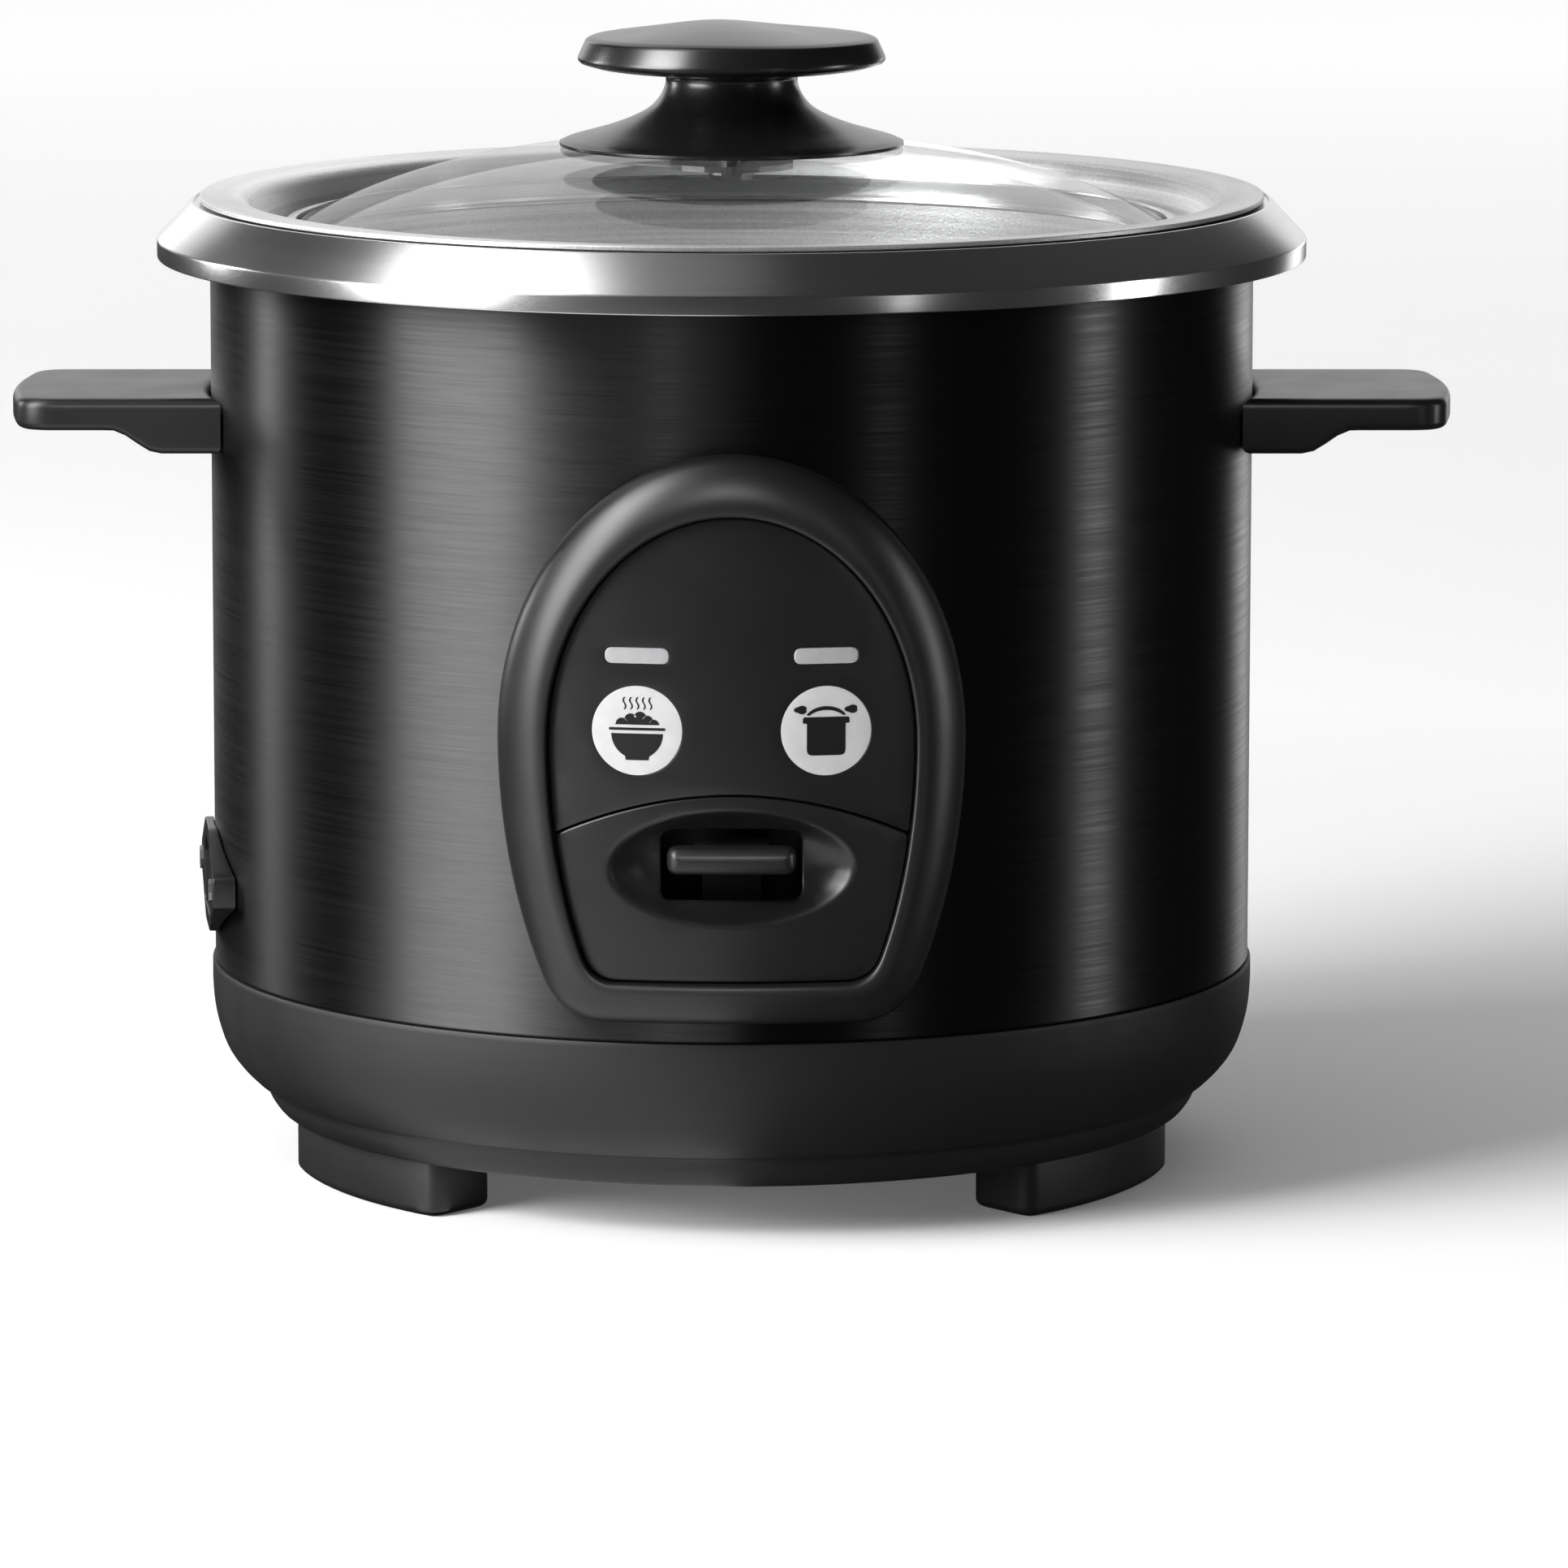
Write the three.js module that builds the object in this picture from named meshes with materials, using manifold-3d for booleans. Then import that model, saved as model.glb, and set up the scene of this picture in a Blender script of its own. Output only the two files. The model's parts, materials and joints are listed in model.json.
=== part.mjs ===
// Electric rice cooker: a drum body with a glass lid, a lift-out pot, a cook lever and a thermostat.
// Millimetres, +Z up. The front faces -Y and the origin is on the floor, under the drum's centre.
import * as THREE from "three";
import { mergeVertices } from "three/addons/utils/BufferGeometryUtils.js";
import Module from "manifold-3d";

const wasm = await Module();
wasm.setup();

// ---------------------------------------------------------------- driving dimensions
const GAP = 0.3; // clearance between pieces that touch
const FINE = 36; // sides of a large turned piece
const MEDIUM = 24; // sides of a knob or a plain disc
const SMALL = 14; // sides of a small turned piece

const SHELL_R = 110; // outside of the drum
const SHELL_WALL = 0.8;
const SHELL_BOTTOM = 44.2;
const SHELL_TOP = 202.8;

const BASE_TOP = 43.9; // rim of the plastic base, under the drum
const BASE_FLOOR = 11.7; // underside of the base
const BASE_WALL = 2.5;
const BASE_OPENING_R = 66;

const FOOT_OUTER_R = 94.2;
const FOOT_INNER_R = 76;
const FOOT_HALF_ANGLE = 19.3; // degrees
const FOOT_ANGLES = { foot_front_left: -60, foot_front_right: 60, foot_rear: 180 }; // from the front

const COLLAR_R = 121.1; // widest ring of the rim
const COLLAR_SEAT_Z = 204.5; // flat on which the pot's flange rests
const POT_R = 94.5; // outside of the pot's wall
const POT_WALL = 1.5;
const POT_BOTTOM = 84.3;
const POT_CORNER = 18; // outside radius between the pot's wall and bottom
const POT_FLANGE_R = 112.6;
const LID_SEAT_Z = 195.3; // step inside the pot that carries the lid

const GLASS_R = 92.5;
const GLASS_EDGE_Z = 199.5;
const GLASS_RISE = 17.5;
const GLASS_WALL = 4;
const GLASS_POWER = 2.8; // flatness of the dome's crown
const VENT_Y = 58; // vent, behind the knob

const SHIELD_R = 98.5; // inside of the heat shield
const SHIELD_LOW_R = 88.5;
const SHIELD_WALL = 0.8;
const SHIELD_TOP = 188.2;
const SHIELD_FLOOR = 66;

const PLATE_R = 84; // heating plate
const PLATE_TOP = POT_BOTTOM - GAP;
const ELEMENT_R = 61;
const POST_R = 76; // circle of the three posts under the heating plate
const POST_ANGLES = [90, 210, 330]; // degrees from +X

const HANDLE_TOP = 165.5;
const HANDLE_TIP = 152.3;
const HANDLE_HALF = 28; // half its size from front to back
const HANDLE_PLATE = 6.7; // thickness of the grip
const HANDLE_ROOT = 11.6; // thickness at the drum
const HANDLE_SCREW_Z = 160;

const PANEL_FACE = 5; // how far the panel's face stands off the drum
const PANEL_BACK = 2.6;
const BEZEL_SIZE = { half: 47.4, mid: 106, rise: 58.4, drop: 83, bottom: 48.4, corner: 8 };
const WINDOW_SIZE = { half: 37.3, mid: 106, rise: 46.3, drop: 74.5, bottom: 57.3, corner: 5 };
const CUTOUT_SIZE = { half: 41, mid: 106, rise: 51, drop: 78, bottom: 53, corner: 6 };
const SEAM_Z = 95.7; // middle of the arc between the two panel plates
const SEAM_DROP = 8.9; // how far the arc falls at the side
const SEAM_HALF = 36.5;
const LAMP_X = 19;
const LAMP_Z = 124;
const LAMPS = { keep_warm: -LAMP_X, cook: LAMP_X };
const DISC_Z = 108.8; // round inlays under the lamp windows
const DISC_R = 9.1;
const DISH_Z = 80.8; // middle of the finger dish
const SEAM_CLEARANCE = 0.2; // on each side of the arc
const PANEL_SIDES = 72; // sides of the round plates, for a whole turn
const FLAT_STEPS = 7; // points along the panel's straight lower edge

const LEVER_PIVOT_Y = -58;
const LEVER_PIVOT_Z = 44;
const LEVER_Z = 82.7; // middle of the finger bar
const LEVER_STRIP = 1.5;

const INLET_ANGLE = -84.5; // degrees round the drum, from the front to the left
const INLET_Z = 62.2;
const INLET_FACE = 111.8; // distance of its face from the drum's axis
const INLET_SCREW_X = 21.5;
const PIN_PLACES = [[-7, -1.5], [0, 2.5], [7, -1.5]]; // across and up from the inlet's middle
const PIN_NAMES = ["pin_live", "pin_earth", "pin_neutral"];
const TERMINAL_PLACE = [44, 56];

// ---------------------------------------------------------------- materials
const FINISHES = {
  black_steel: [0x0d0d0e, 0.38, 0.9],
  polished_steel: [0xc9c9c9, 0.16, 1],
  steel: [0x9a9c9e, 0.4, 1],
  aluminium: [0xb9babc, 0.38, 1],
  cast_aluminium: [0x8f9092, 0.6, 0.9],
  black_plastic: [0x1c1c1d, 0.42, 0],
  panel_plastic: [0x141415, 0.5, 0],
  glass: [0xe8efee, 0.04, 0],
  lens: [0xc6c6c6, 0.3, 0],
  print: [0xd9d9d9, 0.5, 0],
  silicone: [0xd0d0cc, 0.7, 0],
  ceramic: [0xdad6cc, 0.7, 0],
  board: [0x9a7b45, 0.6, 0],
  brass: [0xb59a55, 0.35, 1],
  wire: [0xa8a39a, 0.6, 0],
};

function material(finish) {
  const [color, roughness, metalness] = FINISHES[finish];
  return new THREE.MeshStandardMaterial({ color, roughness, metalness });
}

// ---------------------------------------------------------------- solids
// Keeps only positions, merges shared corners, drops flat triangles and turns the faces out.
function closed(geometry) {
  const bare = geometry.index ? geometry.toNonIndexed() : geometry.clone();
  bare.deleteAttribute("normal");
  bare.deleteAttribute("uv");
  const merged = mergeVertices(bare, 1e-4);
  const corners = merged.attributes.position;
  const old = merged.index.array;
  const kept = [];
  let volume = 0;
  for (let i = 0; i < old.length; i += 3) {
    const [a, b, c] = [old[i], old[i + 1], old[i + 2]];
    if (a === b || b === c || a === c) continue;
    kept.push(a, b, c);
    const [p, q, r] = [a, b, c].map((k) => new THREE.Vector3().fromBufferAttribute(corners, k));
    volume += p.dot(q.cross(r));
  }
  if (volume < 0) kept.reverse();
  merged.setIndex(new THREE.BufferAttribute(Uint32Array.from(kept), 1));
  return merged;
}

function toSolid(geometry) {
  const { attributes, index } = closed(geometry);
  const vertProperties = Float32Array.from(attributes.position.array);
  return new wasm.Manifold(new wasm.Mesh({ numProp: 3, vertProperties, triVerts: index.array }));
}

function toGeometry(solid) {
  const { vertProperties, triVerts } = solid.getMesh();
  const geometry = new THREE.BufferGeometry();
  geometry.setAttribute("position", new THREE.BufferAttribute(vertProperties, 3));
  geometry.setIndex(new THREE.BufferAttribute(triVerts, 1));
  return geometry;
}

function joined(first, ...others) {
  return toGeometry(others.reduce((sum, other) => sum.add(toSolid(other)), toSolid(first)));
}

function cut(body, ...tools) {
  return toGeometry(tools.reduce((rest, tool) => rest.subtract(toSolid(tool)), toSolid(body)));
}

function common(first, second) {
  return toGeometry(toSolid(first).intersect(toSolid(second)));
}

// Turns an outline of [radius, height] points round the Z axis. It closes on itself or on the axis.
function turned(outline, sides = FINE) {
  const points = outline.map(([radius, z]) => new THREE.Vector2(radius, z));
  const onAxis = outline[0][0] === 0 && outline[outline.length - 1][0] === 0;
  if (!onAxis) points.push(points[0].clone());
  return closed(new THREE.LatheGeometry(points, sides).rotateX(Math.PI / 2));
}

function block([x0, x1], [y0, y1], [z0, z1]) {
  const box = new THREE.BoxGeometry(x1 - x0, y1 - y0, z1 - z0);
  return closed(box.translate((x0 + x1) / 2, (y0 + y1) / 2, (z0 + z1) / 2));
}

function post(radius, [z0, z1], [x, y] = [0, 0], sides = SMALL) {
  const cylinder = new THREE.CylinderGeometry(radius, radius, z1 - z0, sides).rotateX(Math.PI / 2);
  return closed(cylinder.translate(x, y, (z0 + z1) / 2));
}

// A round bar along Y, centred on [x, z].
function barY(radius, [y0, y1], [x, z], sides = SMALL) {
  const cylinder = new THREE.CylinderGeometry(radius, radius, y1 - y0, sides);
  return closed(cylinder.translate(x, (y0 + y1) / 2, z));
}

// A round bar along X, centred on [y, z].
function barX(radius, [x0, x1], [y, z], sides = SMALL) {
  const cylinder = new THREE.CylinderGeometry(radius, radius, x1 - x0, sides).rotateZ(Math.PI / 2);
  return closed(cylinder.translate((x0 + x1) / 2, y, z));
}

// Extrudes a shape drawn in X and Z along Y.
function prismY(shape, [y0, y1]) {
  const prism = new THREE.ExtrudeGeometry(shape, { depth: y1 - y0, bevelEnabled: false, curveSegments: 4 });
  return closed(prism.rotateX(Math.PI / 2).translate(0, y1, 0));
}

// Extrudes a shape drawn in X and Y along Z.
function prismZ(shape, [z0, z1]) {
  const prism = new THREE.ExtrudeGeometry(shape, { depth: z1 - z0, bevelEnabled: false, curveSegments: 4 });
  return closed(prism.translate(0, 0, z0));
}

// A round wire along a curve.
function wire(curve, radius, steps, sides = 6) {
  const section = new THREE.Shape();
  for (let i = 0; i < sides; i += 1) {
    const angle = (2 * Math.PI * i) / sides;
    const [x, y] = [radius * Math.cos(angle), radius * Math.sin(angle)];
    if (i === 0) section.moveTo(x, y);
    else section.lineTo(x, y);
  }
  return closed(new THREE.ExtrudeGeometry(section, { steps, extrudePath: curve, bevelEnabled: false }));
}

class Helix extends THREE.Curve {
  constructor(radius, turns, z0, z1) {
    super();
    Object.assign(this, { radius, turns, z0, z1 });
  }

  getPoint(t, target = new THREE.Vector3()) {
    const angle = 2 * Math.PI * this.turns * t;
    const z = this.z0 + (this.z1 - this.z0) * t;
    return target.set(this.radius * Math.cos(angle), this.radius * Math.sin(angle), z);
  }
}

function spring(radius, wireRadius, turns, [z0, z1]) {
  const helix = new Helix(radius, turns, z0 + wireRadius, z1 - wireRadius);
  return wire(helix, wireRadius, Math.round(turns * 8), 5);
}

function polygon(points) {
  return new THREE.Shape(points.map(([x, y]) => new THREE.Vector2(x, y)));
}

function roundedRectangle([x0, x1], [z0, z1], r) {
  const shape = new THREE.Shape();
  const quarter = Math.PI / 2;
  shape.absarc(x1 - r, z1 - r, r, 0, quarter);
  shape.absarc(x0 + r, z1 - r, r, quarter, 2 * quarter);
  shape.absarc(x0 + r, z0 + r, r, 2 * quarter, 3 * quarter);
  shape.absarc(x1 - r, z0 + r, r, 3 * quarter, 4 * quarter);
  return shape;
}

// ---------------------------------------------------------------- assembly
const group = new THREE.Group();
const inletGroup = new THREE.Group();
inletGroup.rotation.z = THREE.MathUtils.degToRad(INLET_ANGLE);
group.add(inletGroup);

function add(name, geometry, finish, parent = group) {
  const mesh = new THREE.Mesh(geometry, material(finish));
  mesh.name = name;
  parent.add(mesh);
  return mesh;
}

// ---------------------------------------------------------------- lid
function domeZ(radius) {
  return GLASS_EDGE_Z + GLASS_RISE * (1 - (radius / GLASS_R) ** GLASS_POWER);
}

function ventFrame(geometry) {
  const slope = (GLASS_RISE * GLASS_POWER * (VENT_Y / GLASS_R) ** (GLASS_POWER - 1)) / GLASS_R;
  return geometry.rotateX(-Math.atan(slope)).translate(0, VENT_Y, domeZ(VENT_Y));
}

function lidGlass() {
  const hole = 5;
  const outer = [hole, 30, 50, 66, 80, GLASS_R].map((r) => [r, domeZ(r)]);
  const inner = [90.5, 78, 60, 38, hole].map((r) => [r, domeZ(r) - GLASS_WALL]);
  const dome = turned([...outer, [GLASS_R, domeZ(GLASS_R) - 2.6], ...inner]);
  return cut(dome, ventFrame(post(3.2, [-9, 5])));
}

function lidHoop() {
  return turned([[95, 195.6], [95, 199.6], [94.2, 200.5], [91.8, 201], [91.8, 200.45],
    [92.8, 199.95], [92.8, 196.1], [90.6, 196.1], [90.6, 195.6]]);
}

function ventGrommet() {
  const eyelet = turned([[2, 1.3], [5, 1.2], [5, 0.7], [2.8, 0.7], [2.8, -4.6], [5, -4.6],
    [5, -5.1], [2, -5.2]], 12);
  return ventFrame(eyelet);
}

function knobSkirt() {
  return turned([[0, 231.4], [13.9, 231.4], [13.8, 230.3], [14.1, 228.2], [15.5, 226.2],
    [17.3, 224.1], [21.1, 222], [26.4, 220], [34.5, 217.9], [36.3, 216.9], [36.3, 216.1],
    [34.6, 216.2], [25.5, 218.6], [16, 218.6], [2.8, 218.6], [2.8, 228], [0, 228]], MEDIUM);
}

// The mushroom head has a low ridge from front to back, for the fingers.
function knobCap() {
  const ridge = { x: -3.6, width: 15, height: 2.6 };
  const rim = 239;
  const head = turned([[0, 231.7], [16, 231.7], [30.5, 232.3], [32.3, 233.4], [32.4, 234.6],
    [31, 237.2], [29.3, rim], [22, rim + 0.4], [13, rim + 0.6], [6, rim + 0.6], [0, rim + 0.6]], MEDIUM);
  const corners = head.attributes.position;
  for (let i = 0; i < corners.count; i += 1) {
    const height = corners.getZ(i);
    if (height < rim) continue;
    const side = (corners.getX(i) - ridge.x) / ridge.width;
    const reach = 1 - (corners.getY(i) / 34) ** 2;
    corners.setZ(i, height + ridge.height * Math.exp(-side * side) * reach);
  }
  return head;
}

function knobScrew() {
  return turned([[0, 208.6], [4.2, 208.9], [5, 210], [5, 211.1], [2.4, 211.1], [2.4, 226],
    [0, 226]], SMALL);
}

function ring(inner, outer, [z0, z1], sides = SMALL) {
  return turned([[inner, z0], [outer, z0], [outer, z1], [inner, z1]], sides);
}

add("lid_glass", lidGlass(), "glass");
add("lid_hoop", lidHoop(), "polished_steel");
add("vent_grommet", ventGrommet(), "steel");
add("knob_cap", knobCap(), "black_plastic");
add("knob_skirt", knobSkirt(), "black_plastic");
add("knob_gasket", ring(3.2, 12, [217.3, 218.3]), "silicone");
add("knob_washer", ring(3, 13.3, [211.4, 212.6]), "steel");
add("knob_screw", knobScrew(), "steel");

// ---------------------------------------------------------------- pot
// Points of the rounded corner between the pot's wall and its bottom, from wall to bottom.
function potCorner(radius) {
  const centre = [POT_R - POT_CORNER, POT_BOTTOM + POT_CORNER];
  return [0, 30, 60, 90].map((degrees) => {
    const angle = THREE.MathUtils.degToRad(degrees);
    return [centre[0] + radius * Math.cos(angle), centre[1] - radius * Math.sin(angle)];
  });
}

function innerPot() {
  const inside = potCorner(POT_CORNER - POT_WALL);
  const outside = potCorner(POT_CORNER).reverse();
  const flangeUnder = COLLAR_SEAT_Z + GAP;
  return turned([[0, POT_BOTTOM], ...outside, [POT_R, 193.9], [98.1, 193.9], [99, 196.7],
    [102.8, 203.5], [104.2, flangeUnder], [POT_FLANGE_R, flangeUnder], [POT_FLANGE_R, 206.2],
    [102.9, 205.7], [101.4, 204.2], [97.6, 197.2], [96.9, LID_SEAT_Z],
    [POT_R - POT_WALL, LID_SEAT_Z], ...inside, [0, POT_BOTTOM + POT_WALL]]);
}

add("inner_pot", innerPot(), "aluminium");

// ---------------------------------------------------------------- drum and rim
function overflowCollar() {
  return turned([[COLLAR_R, 193.3], [COLLAR_R, 197], [113.4, 206], [112.95, 206],
    [112.95, COLLAR_SEAT_Z], [106, COLLAR_SEAT_Z], [106, 190], [107, 190], [107, 203.5],
    [112, 203.5], [119.9, 196.3], [119.9, 193.3]]);
}

// Screw holes of the handles, on the X axis.
function handleHoles(radius) {
  return barX(radius, [-130, 130], [0, HANDLE_SCREW_Z], 12);
}

function intoInlet(geometry) {
  return geometry.rotateZ(THREE.MathUtils.degToRad(INLET_ANGLE));
}

function outerShell() {
  const drum = ring(SHELL_R - SHELL_WALL, SHELL_R, [SHELL_BOTTOM, SHELL_TOP], FINE);
  const panel = prismY(new THREE.Shape(eggPoints(CUTOUT_SIZE)), [-120, -90]);
  const socket = block([-13, 13], [-120, -90], [INLET_Z - 9, INLET_Z + 9]);
  const screws = [-INLET_SCREW_X, INLET_SCREW_X].map((x) => barY(1.9, [-120, -90], [x, INLET_Z], 8));
  return cut(drum, panel, handleHoles(2.3), intoInlet(socket), ...screws.map(intoInlet));
}

function heatShield() {
  const wall = SHIELD_WALL;
  const bowl = turned([[108.7, SHIELD_TOP], [108.7, SHIELD_TOP - wall],
    [SHIELD_R + wall, SHIELD_TOP - wall], [SHIELD_R + wall, 98.2], [SHIELD_LOW_R + wall, 80.2],
    [SHIELD_LOW_R + wall, SHIELD_FLOOR - wall], [15, SHIELD_FLOOR - wall], [15, SHIELD_FLOOR],
    [SHIELD_LOW_R, SHIELD_FLOOR], [SHIELD_LOW_R, 80.4], [SHIELD_R, 98.4], [SHIELD_R, SHIELD_TOP]], FINE);
  const postHoles = POST_ANGLES.map((degrees) => post(4.9, [60, 70], around(POST_R, degrees), 8));
  const leadHoles = [75, 105].map((degrees) => post(4.8, [60, 70], around(ELEMENT_R, degrees), 8));
  return cut(bowl, ...postHoles, ...leadHoles);
}

// A point on a circle about the Z axis, in degrees from +X.
function around(radius, degrees) {
  const angle = THREE.MathUtils.degToRad(degrees);
  return [radius * Math.cos(angle), radius * Math.sin(angle)];
}

add("overflow_collar", overflowCollar(), "polished_steel");
add("outer_shell", outerShell(), "black_steel");
add("heat_shield", heatShield(), "aluminium");

// ---------------------------------------------------------------- base and feet
function baseHousing() {
  const inside = BASE_FLOOR + BASE_WALL;
  return turned([[110.8, BASE_TOP], [110.5, 35.7], [109.3, 29.5], [108, 25.9], [106, 22.9],
    [102.9, 19.2], [99.3, 17.2], [98.8, 14.7], [97, 12], [95.5, BASE_FLOOR],
    [BASE_OPENING_R, BASE_FLOOR], [BASE_OPENING_R, inside], [95, inside], [97, 19.2],
    [103.6, 24.6], [107, 34], [106.6, 50], [108.8, 50], [108.8, BASE_TOP]]);
}

function bottomPlate() {
  const disc = post(72, [9.9, BASE_FLOOR - GAP], [0, 0], MEDIUM);
  const slots = [];
  for (let degrees = 0; degrees < 360; degrees += 36) {
    const slot = block([28, 52], [-1.6, 1.6], [5, 15]);
    slots.push(slot.rotateZ(THREE.MathUtils.degToRad(degrees)));
  }
  return cut(disc, ...slots);
}

function foot(fromFront) {
  const middle = fromFront - 90;
  const start = THREE.MathUtils.degToRad(middle - FOOT_HALF_ANGLE);
  const end = THREE.MathUtils.degToRad(middle + FOOT_HALF_ANGLE);
  const sector = new THREE.Shape();
  sector.absarc(0, 0, FOOT_OUTER_R, start, end, false);
  sector.absarc(0, 0, FOOT_INNER_R, end, start, true);
  return prismZ(sector, [0, BASE_FLOOR - GAP]);
}

add("base_housing", baseHousing(), "black_plastic");
add("bottom_plate", bottomPlate(), "steel");
for (const [name, fromFront] of Object.entries(FOOT_ANGLES)) {
  add(name, foot(fromFront), "black_plastic");
}

// ---------------------------------------------------------------- handles
function handle(side) {
  const top = HANDLE_TOP;
  const grip = top - HANDLE_PLATE;
  const root = top - HANDLE_ROOT;
  const profile = polygon([[100, top], [151, top], [152.6, top - 2], [152.6, grip + 2], [151, grip],
    [131.8, grip], [128.6, grip - 1.6], [123.9, root], [100, root]]);
  const plan = new THREE.Shape();
  plan.moveTo(100, -HANDLE_HALF);
  plan.lineTo(143, -HANDLE_HALF);
  plan.quadraticCurveTo(148.8, -HANDLE_HALF, 150.3, -21);
  plan.quadraticCurveTo(2 * HANDLE_TIP - 150.3, 0, 150.3, 21);
  plan.quadraticCurveTo(148.8, HANDLE_HALF, 143, HANDLE_HALF);
  plan.lineTo(100, HANDLE_HALF);
  const slab = common(prismY(profile, [-40, 40]), prismZ(plan, [150, 170]));
  const fitted = cut(slab, post(SHELL_R + GAP + 0.2, [140, 180], [0, 0], FINE));
  const drilled = cut(fitted, barX(2.3, [100, 126], [0, HANDLE_SCREW_Z], 12));
  return side < 0 ? closed(drilled.scale(-1, 1, 1)) : drilled;
}

function handleScrew(side) {
  const screw = turned([[0, 104.6], [4, 104.9], [4, 108], [2, 108], [2, 124], [0, 124]], 12);
  return screw.rotateY((side * Math.PI) / 2).translate(0, 0, HANDLE_SCREW_Z);
}

for (const [word, side] of [["left", -1], ["right", 1]]) {
  add(`handle_${word}`, handle(side), "black_plastic");
  add(`handle_screw_${word}`, handleScrew(side), "steel");
}

// ---------------------------------------------------------------- control panel
// Outline of the panel: half an ellipse on top, longer ellipses below, cut flat with round corners.
function eggPoints({ half, mid, rise, drop, bottom, corner }) {
  const sideAngle = Math.asin((mid - bottom - corner) / drop);
  const cornerX = half * Math.cos(Math.asin((mid - bottom) / drop));
  const path = new THREE.Path();
  path.absellipse(0, mid, half, rise, 0, Math.PI, false);
  path.absellipse(0, mid, half, drop, Math.PI, Math.PI + sideAngle, false);
  path.quadraticCurveTo(-cornerX, bottom, -cornerX + corner, bottom);
  const flat = cornerX - corner;
  for (let step = 1; step <= FLAT_STEPS; step += 1) {
    path.lineTo(flat * ((2 * step) / FLAT_STEPS - 1), bottom);
  }
  const sideX = half * Math.cos(sideAngle);
  path.quadraticCurveTo(cornerX, bottom, sideX, mid - drop * Math.sin(sideAngle));
  path.absellipse(0, mid, half, drop, 2 * Math.PI - sideAngle, 2 * Math.PI, false);
  return path.getPoints(5).slice(0, -1);
}

// Wraps a point of the panel onto the drum: x across, z up, and a distance off the drum.
function wrapped(x, z, distance) {
  return [x, -Math.sqrt((SHELL_R + distance) ** 2 - x * x), z];
}

// A rounded frame whose section, [share of the way in, distance off the drum], runs round the egg.
function panelBezel() {
  const section = [[0, 0.6], [0.02, 2], [0.14, 5], [0.34, 6.9], [0.55, 7.5], [0.8, 6.9],
    [1, 4.8], [1, 2.3], [1.32, 2.3], [1.32, 0.6], [0, 0.6]];
  const outer = eggPoints(BEZEL_SIZE);
  const inner = eggPoints(WINDOW_SIZE);
  const rows = section.map(([across, off]) => new THREE.Vector2(across + 1, off));
  const frame = new THREE.LatheGeometry(rows, outer.length);
  const corners = frame.attributes.position;
  for (let i = 0; i < corners.count; i += 1) {
    const [across, off] = section[i % section.length];
    const k = Math.floor(i / section.length) % outer.length;
    const place = outer[k].clone().lerp(inner[k], across);
    corners.setXYZ(i, ...wrapped(place.x, place.y, off));
  }
  return closed(frame);
}

// A plate that follows the drum between two distances off it, inside an outline in X and Z.
function curvedPlate(shape, [low, high]) {
  const band = ring(SHELL_R + low, SHELL_R + high, [40, 175], PANEL_SIDES);
  return common(band, prismY(shape, [-130, -80]));
}

function shrunk(size, by) {
  return { ...size, half: size.half - by, rise: size.rise - by, bottom: size.bottom + by };
}

// The area above the arc that divides the panel, moved up by an offset, or the area below it.
function seamShape(offset, above) {
  const far = above ? 170 : 40;
  const points = [];
  for (let x = -SEAM_HALF - 6; x <= SEAM_HALF + 6.1; x += 8.5) {
    points.push([x, SEAM_Z + offset - SEAM_DROP * (x / SEAM_HALF) ** 2]);
  }
  return polygon([...points, [SEAM_HALF + 6, far], [-SEAM_HALF - 6, far]]);
}

function stadium(x, halfLength, halfHeight) {
  return roundedRectangle([x - halfLength, x + halfLength], [LAMP_Z - halfHeight, LAMP_Z + halfHeight],
    halfHeight - 0.02);
}

// A round inlay or recess that follows the drum.
function curvedDisc(x, radius, [low, high]) {
  const band = ring(SHELL_R + low, SHELL_R + high, [90, 130], PANEL_SIDES);
  return common(band, barY(radius, [-130, -80], [x, DISC_Z], 20));
}

function panelPlate(above) {
  const outline = new THREE.Shape(eggPoints(shrunk(WINDOW_SIZE, GAP)));
  const plate = curvedPlate(outline, [PANEL_BACK, PANEL_FACE]);
  const offset = above ? SEAM_CLEARANCE : -SEAM_CLEARANCE;
  return common(plate, prismY(seamShape(offset, above), [-130, -80]));
}

function indicatorPanel() {
  const recess = (x) => curvedDisc(x, DISC_R + GAP, [PANEL_FACE - 0.9, PANEL_FACE + 3]);
  const window = (x) => prismY(stadium(x, 6.6, 1.75), [-130, -80]);
  const stud = (x) => barY(2.2, [-113.4, -103.9], [x, 116], 8);
  const holes = Object.values(LAMPS).flatMap((x) => [recess(x), window(x)]);
  const plate = cut(panelPlate(true), ...holes);
  return joined(plate, stud(-5), stud(5));
}

function dish(halfX, depth, halfZ) {
  const bowl = new THREE.SphereGeometry(1, 20, 10).rotateX(Math.PI / 2);
  return closed(bowl.scale(halfX, depth, halfZ).translate(0, -SHELL_R - PANEL_FACE, DISH_Z));
}

function switchPlate() {
  const back = common(dish(26, 7, 13.1), block([-30, 30], [-113.6, -100], [60, 100]));
  const body = joined(panelPlate(false), back);
  const slot = prismY(roundedRectangle([-14.2, 14.2], [73.5, 88.1], 2.5), [-130, -80]);
  const belowSeam = prismY(seamShape(-SEAM_CLEARANCE, false), [-130, -80]);
  return common(cut(body, dish(24.5, 5.5, 11.6), slot), belowSeam);
}

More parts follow.
